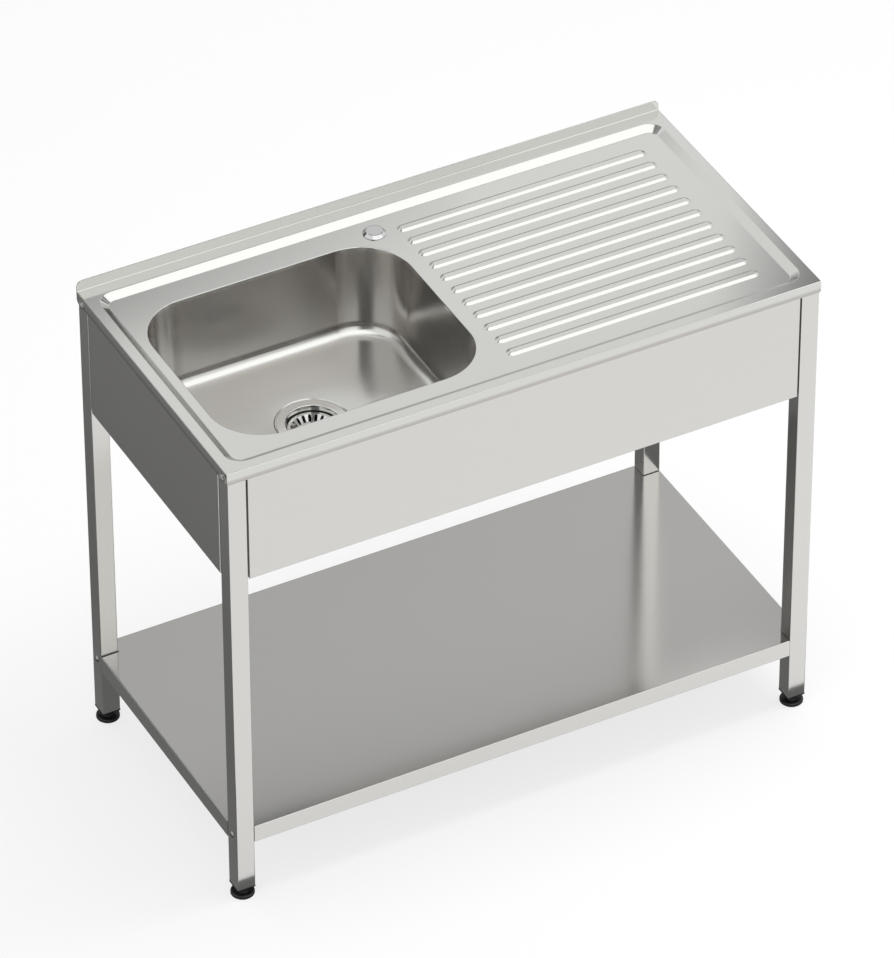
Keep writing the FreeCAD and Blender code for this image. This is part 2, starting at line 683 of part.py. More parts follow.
def build_foot_pad(label, x_sign, y_sign):
    """Round pad with a chamfered sole, a raised middle and a socket for the stud."""
    body = new_body(label)
    half = new_sketch(body, label + "_half", plane="XZ_Plane")
    socket = "stud_tip_radius + running_gap"
    socket_floor = "hub_height - stud_tip_length"
    add_outline(half,
                [("0", "0"),
                 ("pad_radius - pad_chamfer", "0"),
                 ("pad_radius", "pad_chamfer"),
                 ("pad_radius", "pad_thickness - pad_blend"),
                 ("pad_radius - pad_blend", "pad_thickness"),
                 ("hub_radius + 1", "pad_thickness"),
                 ("hub_radius", "hub_height"),
                 (socket, "hub_height"),
                 (socket, socket_floor),
                 ("0", socket_floor)],
                arcs={3: ("pad_blend", True)})
    revolve(body, "Revolution", half)
    place(body, f"{x_sign}{leg_x}", f"{y_sign}{leg_y}")
    return body


def hexagon(across_flats):
    """Corners of a hexagon about the origin, with two flats square to its first axis."""
    flat = f"({across_flats}) / 2"
    point = f"({across_flats}) / sqrt(3)"
    half_side = f"({across_flats}) / sqrt(12)"
    return [(flat, half_side), ("0", point), (f"-{flat}", half_side),
            (f"-{flat}", f"-{half_side}"), ("0", f"-{point}"), (flat, f"-{half_side}")]


def build_foot_stud(label, x_sign, y_sign):
    """Threaded stud with a hexagon to turn it by and a plain end in the pad's socket."""
    body = new_body(label)
    rod = new_sketch(body, label + "_rod", plane="XZ_Plane")
    seat = "running_gap"
    shoulder = f"(stud_tip_length + {seat})"
    top = f"({shoulder} + hexagon_thickness + stud_length)"
    add_outline(rod,
                [("0", "2 * running_gap"),
                 ("stud_tip_radius", "2 * running_gap"),
                 ("stud_tip_radius", shoulder),
                 ("stud_radius", shoulder),
                 ("stud_radius", f"{top} - 1"),
                 ("stud_radius - 1", top),
                 ("0", top)])
    revolve(body, "Revolution", rod)
    nut = new_sketch(body, label + "_hexagon", offset=shoulder)
    add_outline(nut, hexagon("hexagon_across_flats"))
    pad(body, nut, "hexagon_thickness")
    place(body, f"{x_sign}{leg_x}", f"{y_sign}{leg_y}", "hub_height - stud_tip_length")
    return body


# ---------------------------------------------------------------- aprons and shelf

def build_apron(label, length, x="0", y="0", turn=0):
    """Flat panel with a flange turned inwards on all four sides, its face towards local -Y."""
    body = new_body(label)
    height = "apron_drop - top_sheet"
    block = new_sketch(body, label + "_block")
    add_rectangle(block, f"-({length}) / 2", f"({length}) / 2", "0", "apron_flange")
    pad(body, block, height)
    hollow = new_sketch(body, label + "_hollow", plane="XZ_Plane", offset="-apron_flange")
    inner = f"(({length}) / 2 - apron_sheet)"
    add_rectangle(hollow, f"-{inner}", inner, "apron_sheet", f"{height} - apron_sheet")
    pocket(body, hollow, "apron_flange - apron_sheet", along_normal=True)
    blend(body, label + "_bends", "bend_radius", lambda box: near(box.YMin, "0") and near(box.YMax, "0"))
    place(body, x, y, f"{rim_top} - apron_drop", turn)
    return body


def build_aprons():
    front_length = f"unit_width - 2 * ({leg_inset} + leg_width + apron_gap)"
    side_length = f"unit_depth - 2 * ({leg_inset} + leg_width + apron_gap)"
    face_x = f"({right_edge} - {leg_inset})"
    face_y = f"({rear_face} - {leg_inset})"
    return [build_apron("front_apron", front_length, y=f"-{face_y}"),
            build_apron("rear_apron", front_length, y=face_y, turn=180),
            build_apron("left_apron", side_length, x=f"-{face_x}", turn=-90),
            build_apron("right_apron", side_length, x=face_x, turn=90)]


def shelf_outline(sketch, inward):
    """Rectangle between the outer faces of the legs, notched at each corner round its leg."""
    outer_x = f"({right_edge} - {leg_inset} - {inward})"
    outer_y = f"({rear_face} - {leg_inset} - {inward})"
    notch_x = f"({right_edge} - {leg_inset} - leg_width - shelf_gap - {inward})"
    notch_y = f"({rear_face} - {leg_inset} - leg_width - notch_gap - {inward})"
    add_outline(sketch,
                [(notch_x, f"-{outer_y}"), (notch_x, f"-{notch_y}"), (outer_x, f"-{notch_y}"),
                 (outer_x, notch_y), (notch_x, notch_y), (notch_x, outer_y),
                 (f"-{notch_x}", outer_y), (f"-{notch_x}", notch_y), (f"-{outer_x}", notch_y),
                 (f"-{outer_x}", f"-{notch_y}"), (f"-{notch_x}", f"-{notch_y}"),
                 (f"-{notch_x}", f"-{outer_y}")])


def build_shelf():
    """Tray turned upside down: its edge is folded down all round, also in the corner notches."""
    body = new_body("shelf")
    outline = new_sketch(body, "shelf_outline")
    shelf_outline(outline, "0")
    pad(body, outline, "shelf_edge", downward=True)
    hollow = new_sketch(body, "shelf_hollow", offset="-shelf_edge")
    shelf_outline(hollow, "shelf_sheet")
    pocket(body, hollow, "shelf_edge - shelf_sheet", along_normal=True)
    blend(body, "shelf_bends", "bend_radius", lambda box: level(box, "0"))
    holes = new_sketch(body, "shelf_bolt_holes", plane="YZ_Plane")
    for sign in ("-", ""):
        add_circle(holes, "screw_hole_radius", f"{sign}{leg_y}", "-shelf_bolt_drop")
    pocket(body, holes, "unit_width", both_ways=True)
    place(body, z="shelf_height")
    return body


def build_channel(label, width, height, length, x, y, z, turn):
    """Hat-shaped channel along local X, its flanges against the sheet above at z."""
    body = new_body(label)
    section = new_sketch(body, label + "_section", plane="YZ_Plane")
    inner = f"(({width}) / 2 - channel_sheet)"
    outer = f"(({width}) / 2)"
    flange = f"({outer} + channel_flange - channel_sheet)"
    add_outline(section,
                [(flange, "0"), (flange, "-channel_sheet"),
                 (outer, "-channel_sheet"), (outer, f"-({height})"),
                 (f"-{outer}", f"-({height})"), (f"-{outer}", "-channel_sheet"),
                 (f"-{flange}", "-channel_sheet"), (f"-{flange}", "0"),
                 (f"-{inner}", "0"), (f"-{inner}", f"channel_sheet - ({height})"),
                 (inner, f"channel_sheet - ({height})"), (inner, "0")])
    pad(body, section, length, both_ways=True)
    place(body, x, y, z, turn)
    return body


def build_channels():
    shelf_length = f"unit_width - 2 * ({leg_inset} + shelf_channel_margin)"
    drainer_length = "unit_depth - rim_front - rim_rear - 2 * (step_run + drainer_channel_margin)"
    under_shelf = "shelf_height - shelf_sheet"
    under_deck = f"{deck_top} - top_sheet"
    channels = [build_channel("shelf_stiffener", "shelf_channel_width", "shelf_channel_height", shelf_length,
                              "0", "0", under_shelf, 0)]
    reach = f"({rib_length} / 2 - drainer_channel_inset)"
    for side, sign in (("left", "-"), ("right", "+")):
        channels.append(build_channel(f"drainer_stiffener_{side}", "drainer_channel_width",
                                      "drainer_channel_height", drainer_length,
                                      f"{rib_x} {sign} {reach}", recess_y, under_deck, 90))
    return channels


# ---------------------------------------------------------------- screws, bolts and nuts

def build_screw(name, length):
    """Round-headed screw along +X, the underside of its head at X = 0."""
    body = new_body(name)
    half = new_sketch(body, name + "_half", plane="XZ_Plane")
    dome = "((head_radius ^ 2 + head_height ^ 2) / (2 * head_height))"
    add_outline(half,
                [("-head_height", "0"), (length, "0"), (length, "screw_radius"),
                 ("0", "screw_radius"), ("0", "head_radius")],
                arcs={4: (dome, True)})
    revolve(body, "Revolution", half, axis="H_Axis")
    return body


def build_nut(name):
    """Hexagonal nut along +X from X = 0."""
    body = new_body(name)
    section = new_sketch(body, name + "_section", plane="YZ_Plane")
    add_outline(section, hexagon("nut_across_flats"))
    add_circle(section, "nut_bore_radius")
    pad(body, section, "nut_thickness")
    return body


def one_per_leg(label, master, x, z):
    """Four copies of a fastener of the front left leg, mirrored to the other legs."""
    place(master, f"{x} - {right_edge}", f"-{leg_y}", z)
    document.recompute()
    rear = document.addObject("Part::Mirroring", label + "_rear")
    rear.Source = master
    rear.Normal = Vector(0, 1, 0)
    left_pair = document.addObject("Part::Compound", label + "_left_pair")
    left_pair.Links = [master, rear]
    right_pair = document.addObject("Part::Mirroring", label + "_right_pair")
    right_pair.Source = left_pair
    right_pair.Normal = Vector(1, 0, 0)
    group = document.addObject("Part::Compound", label)
    group.Label = label
    group.Links = [left_pair, right_pair]
    document.recompute()
    return group


def build_fasteners():
    top_height = f"{rim_top} - top_screw_drop"
    shelf_bolt_height = "shelf_height - shelf_bolt_drop"
    shelf_flange = f"({leg_inset} + leg_width + shelf_gap + shelf_sheet)"
    return [one_per_leg("leg_top_screws", build_screw("leg_top_screw", "top_screw_length"), "0", top_height),
            one_per_leg("leg_top_nuts", build_nut("leg_top_nut"), f"{leg_inset} + leg_wall", top_height),
            one_per_leg("shelf_bolts", build_screw("shelf_bolt", "shelf_bolt_length"), leg_inset,
                        shelf_bolt_height),
            one_per_leg("shelf_nuts", build_nut("shelf_nut"), shelf_flange, shelf_bolt_height)]


# ---------------------------------------------------------------- waste and its basket

def build_turned(label, corners, arcs=None, z=waste_seat, x=bowl_x, y=bowl_y):
    """Sub-part turned about an upright axis, which is the waste's axis unless told otherwise."""
    body = new_body(label)
    half = new_sketch(body, label + "_half", plane="XZ_Plane")
    add_outline(half, corners, arcs)
    revolve(body, "Revolution", half)
    place(body, x, y, z)
    return body


def build_waste_flange():
    """Ring in the bowl floor with a cup below it: a seat for the basket, outlet holes in its floor."""
    ring_top = "flange_seal + flange_sheet"
    shaft_x = "(mouth_radius - mouth_blend / 2)"
    body = build_turned("waste_flange",
                        [("clamp_radius + part_gap", "-cup_depth"),
                         ("cup_radius", "-cup_depth"),
                         ("cup_radius", "-seat_depth - 1"),
                         ("cup_radius + 1", "-seat_depth"),
                         (shaft_x, "-seat_depth"),
                         (shaft_x, f"{ring_top} - mouth_blend"),
                         (f"{shaft_x} + mouth_blend", ring_top),
                         ("flange_radius - 1.5", ring_top),
                         ("flange_radius", f"{ring_top} - flange_sheet / 2"),
                         ("flange_radius", "flange_seal"),
                         (f"{shaft_x} + flange_sheet", "flange_seal"),
                         (f"{shaft_x} + flange_sheet", "-seat_depth - flange_sheet + 0.5"),
                         (f"{shaft_x} + flange_sheet - 0.5", "-seat_depth - flange_sheet"),
                         ("cup_radius + flange_sheet + 1", "-seat_depth - flange_sheet"),
                         ("cup_radius + flange_sheet", "-seat_depth - flange_sheet - 1"),
                         ("cup_radius + flange_sheet", "-cup_depth - flange_sheet"),
                         ("clamp_radius + part_gap", "-cup_depth - flange_sheet")],
                        arcs={5: ("mouth_blend", False)})
    outlet = new_sketch(body, "cup_outlet", offset="-cup_depth")
    add_circle(outlet, "cup_hole_radius", "cup_hole_ring", "0")
    ring_pattern(body, pocket(body, outlet, "2 * flange_sheet"), outlet, "cup_hole_count")
    return body


def build_waste_seals():
    """Thin seal above the bowl floor and gasket below it."""
    under = "-top_sheet"
    upper = build_turned("waste_flange_seal",
                         [("waste_hole_radius + 1", "0"), ("flange_radius - 2", "0"),
                          ("flange_radius - 2", "flange_seal"), ("waste_hole_radius + 1", "flange_seal")])
    lower = build_turned("waste_gasket",
                         [("body_radius", f"{under} - gasket_thickness"),
                          ("body_flange_radius", f"{under} - gasket_thickness"),
                          ("body_flange_radius", under), ("body_radius", under)])
    return [upper, lower]


def build_waste_body():
    """Plastic lower half: a flange under the gasket, a chamber, and a threaded tail for a trap."""
    top = "(-top_sheet - gasket_thickness)"
    chamber_end = f"({top} - body_depth)"
    tail_top = f"({chamber_end} - cone_height)"
    tail_end = f"({tail_top} - tail_length)"
    body = build_turned("waste_body",
                        [("body_radius", top),
                         ("body_radius", chamber_end),
                         ("tail_bore_radius", tail_top),
                         ("tail_bore_radius", tail_end),
                         ("tail_radius", tail_end),
                         ("tail_radius", f"{tail_top} - 1"),
                         ("body_radius + body_wall", f"{chamber_end} - 1"),
                         ("body_radius + body_wall", f"{top} - body_flange_thickness"),
                         ("body_flange_radius", f"{top} - body_flange_thickness"),
                         ("body_flange_radius", top)])
    hub_top = "-cup_depth - flange_sheet - part_gap"
    hub = new_sketch(body, "waste_hub", offset=hub_top)
    add_circle(hub, "clamp_radius + hub_wall")
    hub_length = f"{hub_top} - ({tail_top})"
    pad(body, hub, hub_length, downward=True)
    spoke = new_sketch(body, "waste_spoke", offset=chamber_end)
    add_rectangle(spoke, "clamp_radius + 1", "body_radius + 1", "-spoke_thickness / 2", "spoke_thickness / 2")
    spoke_height = f"{hub_top} - spoke_thickness - ({chamber_end})"
    ring_pattern(body, pad(body, spoke, spoke_height), spoke, "spoke_count")
    bore = new_sketch(body, "waste_hub_bore", offset=hub_top)
    add_circle(bore, "clamp_radius + part_gap")
    pocket(body, bore, f"{hub_length} + 2")
    return body


def build_clamp_screw():
    """Central screw that pulls the ring and the plastic body together on the bowl floor."""
    shank_end = "-top_sheet - gasket_thickness - body_depth - cone_height + 1"
    return build_turned("waste_clamp_screw",
                        [("0", shank_end), ("clamp_radius", shank_end), ("clamp_radius", "-cup_depth"),
                         ("clamp_head_radius", "-cup_depth"),
                         ("clamp_head_radius", "-cup_depth + clamp_head_height / 3"),
                         ("clamp_head_radius / 2", "-cup_depth + clamp_head_height"),
                         ("0", "-cup_depth + clamp_head_height")])


basket_top = "(-seat_depth + running_gap + basket_seal_height + basket_sheet)"
basket_floor = f"({basket_top} - basket_depth)"


def build_basket():
    """Dish with a flat rim and radial slots, which rests on its rubber ring."""
    body = build_turned("basket_strainer",
                        [("knob_waist_radius", basket_floor),
                         ("basket_floor_radius", basket_floor),
                         ("basket_wall_radius", f"{basket_top} - basket_sheet"),
                         ("basket_rim_radius", f"{basket_top} - basket_sheet"),
                         ("basket_rim_radius", basket_top),
                         ("basket_wall_radius - basket_sheet / 2", basket_top),
                         ("basket_floor_radius - basket_sheet / 2", f"{basket_floor} + basket_sheet"),
                         ("knob_waist_radius", f"{basket_floor} + basket_sheet")])
    slot = new_sketch(body, "basket_slot", offset=basket_top)
    add_slot(slot, "(slot_inner_radius + slot_outer_radius) / 2", "0",
             "(slot_outer_radius - slot_inner_radius) / 2", "slot_width / 2")
    ring_pattern(body, pocket(body, slot, "basket_depth + 1"), slot, "slot_count")
    return body


def build_basket_fittings():
    """Rubber ring under the basket's rim, and the knob that it is lifted by."""
    ring_top = f"{basket_top} - basket_sheet"
    ring = build_turned("basket_seal",
                        [("basket_wall_radius + part_gap", f"{ring_top} - basket_seal_height"),
                         ("basket_seal_radius - 1", f"{ring_top} - basket_seal_height"),
                         ("basket_seal_radius", ring_top),
                         ("basket_wall_radius + part_gap", ring_top)])
    knob_top = f"({basket_floor} + knob_height)"
    knob_shoulder = f"({knob_top} - knob_head_height)"
    knob = build_turned("basket_knob",
                        [("0", f"{basket_floor} - 1"),
                         ("knob_waist_radius + 2", f"{basket_floor} - 1"),
                         ("knob_waist_radius + 2", basket_floor),
                         ("knob_waist_radius", basket_floor),
                         ("knob_waist_radius", knob_shoulder),
                         ("knob_radius", f"{knob_shoulder} + 1"),
                         ("knob_radius", f"{knob_top} - 2"),
                         ("knob_radius - 2", knob_top),
                         ("0", knob_top)],
                        arcs={6: ("2", True)})
    return [ring, knob]


def build_damping_pad():
    """Ring of damping felt stuck under the bowl floor, following its fall."""
    def under(radius, lower="0"):
        return f"{dish_height(radius)} - top_sheet - part_gap - {lower}"
    return build_turned("bowl_sound_pad",
                        [("damping_inner_radius", under("damping_inner_radius", "damping_thickness")),
                         (damping_radius, under(damping_radius, "damping_thickness")),
                         (damping_radius, under(damping_radius)),
                         ("damping_inner_radius", under("damping_inner_radius"))],
                        arcs={0: (dish_curve, False), 2: (dish_curve, True)}, z="0")


# ---------------------------------------------------------------- tap hole cover

def build_tap_cover():
    """Low cap over the tap hole: an upright edge, a sloping side and a flat top, hollow below."""
    return build_turned("tap_hole_cover",
                        [("0", "cover_height - cover_wall"),
                         ("cover_flat_radius", "cover_height - cover_wall"),
                         ("cover_radius - cover_wall", "0"),
                         ("cover_radius", "0"),
                         ("cover_radius", "cover_edge"),
                         ("cover_flat_radius + 1", "cover_height - 0.4"),
                         ("cover_flat_radius", "cover_height"),
                         ("0", "cover_height")],
                        z=f"{deck_top} + part_gap", x=tap_x, y=tap_y)


def build_tap_clip():
    """Plastic insert under the cap: a disc against the cap and sprung fingers down the hole."""
    disc_top = "cover_height - cover_wall"
    disc_radius = "cover_flat_radius - part_gap"
    body = build_turned("tap_hole_clip",
                        [("0", f"{disc_top} - clip_wall"),
                         (f"{disc_radius} - clip_wall", f"{disc_top} - clip_wall"),
                         ("clip_radius - clip_wall", "-top_sheet"),
                         ("clip_radius - clip_wall", "-clip_depth"),
                         ("clip_radius - 1", "-clip_depth"),
                         ("clip_radius", "2 - clip_depth"),
                         ("clip_radius", "-part_gap"),
                         (disc_radius, f"{disc_top} - clip_wall / 2"),
                         (disc_radius, disc_top),
                         ("0", disc_top)],
                        z=f"{deck_top} + part_gap", x=tap_x, y=tap_y)
    for name, turned in (("clip_slits_across", False), ("clip_slits_along", True)):
        slit = new_sketch(body, name, plane="YZ_Plane" if turned else "XZ_Plane")
        add_rectangle(slit, "-clip_slit / 2", "clip_slit / 2", "-clip_depth - 1", "-top_sheet")
        pocket(body, slit, "3 * clip_radius", both_ways=True)
    return body


# ---------------------------------------------------------------- assembly and export

def build_all():
    nodes = [build_sink_top()]
    nodes += build_aprons()
    for label, x_sign, y_sign in (("front_left", "-", "-"), ("front_right", "", "-"),
                                  ("rear_left", "-", ""), ("rear_right", "", "")):
        nodes.append(build_leg(f"leg_{label}", x_sign, y_sign))
        nodes.append(build_leg_plug(f"leg_plug_{label}", x_sign, y_sign))
        nodes.append(build_foot_pad(f"foot_pad_{label}", x_sign, y_sign))
        nodes.append(build_foot_stud(f"foot_stud_{label}", x_sign, y_sign))
    nodes.append(build_shelf())
    nodes += build_channels()
    nodes += build_fasteners()
    nodes.append(build_waste_flange())
    nodes += build_waste_seals()
    nodes.append(build_waste_body())
    nodes.append(build_clamp_screw())
    nodes.append(build_basket())
    nodes += build_basket_fittings()
    nodes.append(build_damping_pad())
    nodes.append(build_tap_cover())
    nodes.append(build_tap_clip())
    return nodes


def check_and_export(nodes):
    """Stop on any object in error, then write each sub-part to its own file."""
    document.recompute()
    for item in document.Objects:
        assert not {"Invalid", "Error"} & set(item.State), f"{item.Name} is in error: {item.State}"
    os.makedirs("parts", exist_ok=True)
    for node in nodes:
        shape = node.Shape
        assert not shape.isNull() and shape.isValid(), f"{node.Label} has no valid shape"
        shape.exportStep(f"parts/{node.Label}.step")
        print(f"{node.Label}: {len(shape.Solids)} solid(s), {shape.Volume / 1000:.1f} cm3")


check_and_export(build_all())
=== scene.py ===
"""Stainless steel sink unit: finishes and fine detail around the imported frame, with a studio and a camera."""

import math

import bmesh
import bpy
from bpy.props import FloatProperty, FloatVectorProperty, IntProperty, PointerProperty
from mathutils import Matrix, Vector


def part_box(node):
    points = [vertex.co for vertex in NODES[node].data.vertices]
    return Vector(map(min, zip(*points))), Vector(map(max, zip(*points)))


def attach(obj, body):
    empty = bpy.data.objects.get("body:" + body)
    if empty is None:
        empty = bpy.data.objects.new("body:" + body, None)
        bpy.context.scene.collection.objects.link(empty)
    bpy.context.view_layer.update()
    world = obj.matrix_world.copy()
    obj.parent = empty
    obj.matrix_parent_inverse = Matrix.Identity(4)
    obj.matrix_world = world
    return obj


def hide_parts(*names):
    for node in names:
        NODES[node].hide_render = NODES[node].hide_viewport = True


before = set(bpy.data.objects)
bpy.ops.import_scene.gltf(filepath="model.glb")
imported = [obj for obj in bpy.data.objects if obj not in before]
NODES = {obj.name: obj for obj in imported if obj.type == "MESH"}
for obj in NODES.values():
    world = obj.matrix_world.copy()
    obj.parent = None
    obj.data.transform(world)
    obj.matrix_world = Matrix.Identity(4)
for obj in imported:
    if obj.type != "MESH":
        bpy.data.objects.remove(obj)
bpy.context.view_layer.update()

bl_info = {
    "name": "Kitchen sink unit",
    "version": (1, 0, 0),
    "blender": (4, 5, 0),
    "location": "View3D > Sidebar > Sink Unit",
    "description": "Dresses a stainless steel sink unit and sets up its studio",
    "category": "Object",
}

LEGS = ("front_left", "front_right", "rear_left", "rear_right")
MM = 0.001
WHITE = (1.0, 1.0, 1.0, 1.0)
SHARP_ANGLE = math.radians(38)  # an edge of a fine piece that bends more than this stays sharp

# Steel and small parts
DECK_DROP = 26 * MM  # upstand's edge down to the sunk deck
DECK_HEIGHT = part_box("sink_top")[1][2] - DECK_DROP
BOWL_SHADE_AND_SATIN_FROM = 2 * MM  # below the deck, where the painted shade and the satin of the bowl begin
BOWL_SHADE_AND_SATIN_FULL = 9 * MM  # below the deck, where both are complete
LEVEL_FACE = 0.75  # upward part of the normal of a face that counts as level
UPRIGHT_FACE = 0.15  # and of one that counts as upright
STREAK_STRETCH = (20.0, 20.0, 0.8)
STREAK_LEAST = 0.85
STREAK_CHANGE = 0.3
GRAIN_ALONG = 6.0  # changes in a metre along a brush line
FINE_GRAIN = {"amount": 0.03, "bump": 0.012}
COARSE_GRAIN = {"amount": 0.04, "bump": 0.02}
SMUDGE_AMOUNT = 0.05
MARK_AMOUNT = 0.12
LEAST_ROUGHNESS = 0.02
GRAIN_RELIEF = 0.1 * MM
SKIN_RELIEF = 0.2 * MM
SKIN_STRENGTH = 0.15
PLATED_EDGE = 0.3 * MM
EDGE_SAMPLES = 6

# Leg screws: SCREW_SHANK and SCREW_HEAD are radii
SCREW_SHANK = 2.4 * MM
SCREW_LENGTH = 10 * MM
SCREW_HEAD = 6.3 * MM
SCREW_HEAD_HEIGHT = 3.2 * MM
SCREW_DOME = 2.4  # more makes the middle of the head flatter
SCREW_TURN = 0.4  # radians that the cross stands turned by
SCREW_SIDES = 48
RECESS_REACH = 2.9 * MM
RECESS_HALF_WIDTH = 1.0 * MM
RECESS_DEPTH = 1.9 * MM
RECESS_END_SLOPE = 0.5 * MM
RECESS_SIDE_SLOPE = 0.45 * MM
HEAD_RINGS = (0.997, 0.97, 0.92, 0.84, 0.74, 0.64, 0.55, 0.50,
              0.46, 0.42, 0.37, 0.31, 0.25, 0.19, 0.13, 0.07)  # shares of its radius, rim to middle

# Levelling studs: STUD_TIP, STUD_CREST, STUD_END and the two hexagon limits are radii
STUD_TIP = 4.2 * MM
STUD_TIP_LENGTH = 6.7 * MM
STUD_CREST = 4.95 * MM
STUD_END = 3.95 * MM
STUD_END_BEVEL = 1 * MM
THREAD_LENGTH = 45 * MM
THREAD_DEPTH = 0.85 * MM
THREAD_FLANK = 1.25  # more than 1 leaves a flat crest
THREAD_RINGS = 6  # in one turn
HEXAGON_FLATS = 14 * MM
HEXAGON_THICKNESS = 4 * MM
HEXAGON_BEVEL = 0.7 * MM
HEXAGON_FACE_LIMIT = 7.1 * MM
HEXAGON_FULL_LIMIT = 9 * MM  # beyond the corners, so nothing is cut back

# Studio: heights and depths that the cards stand at
CARD_CEILING = 2.8
NEAR_PLANE = 0.9
FAR_PLANE = 2.0
FRONT_PLANE = -2.2
BOWL_PLANE = -0.9
FLOOR_PLANE = 2 * MM
RAMP_HEIGHT = 3.0  # metres that a ramp over height covers
RAMP_WIDTH = 2.0  # metres that a ramp over width covers
NEAR_SLANT = 0.155
FLOOR_HALF = 12.0
FLOOR_GLOW = 0.75  # share of plain white in what the camera sees of the floor
LAMP_WIDTH = 2.0
LAMP_DEPTH = 0.9
LAMP_PLACE = (0.8, -0.25, CARD_CEILING)

# Camera at the photograph's viewing angle
CAMERA_AZIMUTH = math.radians(-27.87)
CAMERA_ELEVATION = math.radians(38.452)
CAMERA_ROLL = math.radians(-0.114)
CAMERA_TARGET = Vector((0.0483, 0.1000, 0.3721))
SENSOR_WIDTH = 36.0
CLIP_END = 60.0


# ---------------------------------------------------------------- sizes and colours a user would change

class SteelFinish(bpy.types.PropertyGroup):
    """Look of the steel sheet and tube."""
    top_colour: FloatVectorProperty(
        name="Top colour", description="Steel of the pressed top", subtype="COLOR",
        size=3, min=0.0, max=1.0, default=(0.662, 0.662, 0.640))
    # Painted shade: this darker colour is blended into the upright walls inside the bowl to stand in for the
    # shade in the deep bowl
    bowl_shade_colour: FloatVectorProperty(
        name="Painted bowl shade", description="Deep drawn walls of the bowl, darker than the flat sheet",
        subtype="COLOR", size=3, min=0.0, max=1.0, default=(0.50, 0.482, 0.46))
    frame_colour: FloatVectorProperty(
        name="Frame colour", description="Steel of the legs, aprons and shelf", subtype="COLOR",
        size=3, min=0.0, max=1.0, default=(0.662, 0.655, 0.635))
    top_roughness: FloatProperty(
        name="Top roughness", description="Gloss of the pressed top", subtype="FACTOR",
        min=0.0, max=1.0, default=0.115)
    bowl_roughness: FloatProperty(
        name="Bowl roughness", description="Satin inside of the bowl", subtype="FACTOR",
        min=0.0, max=1.0, default=0.21)
    edge_radius: FloatProperty(
        name="Edge rounding", description="Rounding that catches the light along pressed and cut edges",
        subtype="DISTANCE", unit="LENGTH", min=0.0, max=0.005, default=0.0006)
    frame_roughness: FloatProperty(
        name="Frame roughness", description="Gloss of the legs, the shelf and the channel under it",
        subtype="FACTOR", min=0.0, max=1.0, default=0.14)
    apron_roughness: FloatProperty(
        name="Apron roughness", description="Gloss of the aprons, a little duller than the tubes",
        subtype="FACTOR", min=0.0, max=1.0, default=0.24)
    grain_pitch: FloatProperty(
        name="Grain pitch", description="Width of one brush line", subtype="DISTANCE", unit="LENGTH",
        min=0.0001, max=0.005, default=0.0006)


class SmallPartFinish(bpy.types.PropertyGroup):
    """Look of the feet, seals, fasteners and cap, and the thread of the studs."""
    plastic_colour: FloatVectorProperty(
        name="Plastic colour", description="Moulded plastic of the feet and plugs", subtype="COLOR",
        size=3, min=0.0, max=1.0, default=(0.012, 0.012, 0.013))
    rubber_colour: FloatVectorProperty(
        name="Rubber colour", description="Seals of the waste", subtype="COLOR",
        size=3, min=0.0, max=1.0, default=(0.02, 0.02, 0.02))
    chrome_colour: FloatVectorProperty(
        name="Chrome colour", description="Plated cap over the tap hole", subtype="COLOR",
        size=3, min=0.0, max=1.0, default=(0.62, 0.62, 0.62))
    plated_colour: FloatVectorProperty(
        name="Plated colour", description="Zinc plated screws, bolts, nuts and studs", subtype="COLOR",
        size=3, min=0.0, max=1.0, default=(0.36, 0.36, 0.355))
    bright_colour: FloatVectorProperty(
        name="Bright steel colour", description="Waste ring and basket", subtype="COLOR",
        size=3, min=0.0, max=1.0, default=(0.68, 0.68, 0.66))
    clip_colour: FloatVectorProperty(
        name="Clip colour", description="White plastic clip under the cap", subtype="COLOR",
        size=3, min=0.0, max=1.0, default=(0.78, 0.78, 0.76))
    felt_colour: FloatVectorProperty(
        name="Damping pad colour", description="Grey pad under the bowl", subtype="COLOR",
        size=3, min=0.0, max=1.0, default=(0.10, 0.10, 0.10))
    thread_pitch: FloatProperty(
        name="Thread pitch", description="Pitch of the levelling studs", subtype="DISTANCE",
        unit="LENGTH", min=0.0005, max=0.003, default=0.0015)
    thread_sides: IntProperty(
        name="Thread sides", description="Points round one turn of the stud thread",
        min=12, max=96, default=36)


class StudioSettings(bpy.types.PropertyGroup):
    """Floor, lamp, light of the room and camera."""
    floor_colour: FloatVectorProperty(
        name="Floor colour", description="Pale studio floor", subtype="COLOR",
        size=3, min=0.0, max=1.0, default=(0.90, 0.90, 0.90))
    ceiling_power: FloatProperty(
        name="Ceiling lamp", description="Power of the soft lamp overhead", unit="POWER",
        min=0.0, max=2000.0, default=42.0)
    room_strength: FloatProperty(
        name="Room light", description="Strength of the even light of the room",
        min=0.0, max=4.0, default=0.8)
    camera_distance: FloatProperty(
        name="Camera distance", description="Camera to the point that it looks at", subtype="DISTANCE",
        unit="LENGTH", min=1.0, max=40.0, default=11.374)
    camera_lens: FloatProperty(
        name="Camera lens", description="Focal length", subtype="DISTANCE_CAMERA", unit="CAMERA",
        min=10.0, max=600.0, default=275.26)


# ---------------------------------------------------------------- shader helpers

def new_group(name, inputs, outputs):
    """Empty shader node group with named sockets: (tree, input node, output node)."""
    tree = bpy.data.node_groups.new(name, "ShaderNodeTree")
    for label, kind, default in inputs:
        socket = tree.interface.new_socket(label, in_out="INPUT", socket_type=kind)
        socket.default_value = default
    for label, kind in outputs:
        tree.interface.new_socket(label, in_out="OUTPUT", socket_type=kind)
    return tree, tree.nodes.new("NodeGroupInput"), tree.nodes.new("NodeGroupOutput")


def feed(tree, value, target):
    """Link a socket to an input, or give the input plain numbers."""
    if isinstance(value, bpy.types.NodeSocket):
        tree.links.new(value, target)
    else:
        target.default_value = value


def math_node(tree, operation, first, second=None):
    """Math node whose inputs are sockets or numbers."""
    node = tree.nodes.new("ShaderNodeMath")
    node.operation = operation
    feed(tree, first, node.inputs[0])
    if second is not None:
        feed(tree, second, node.inputs[1])
    return node.outputs[0]


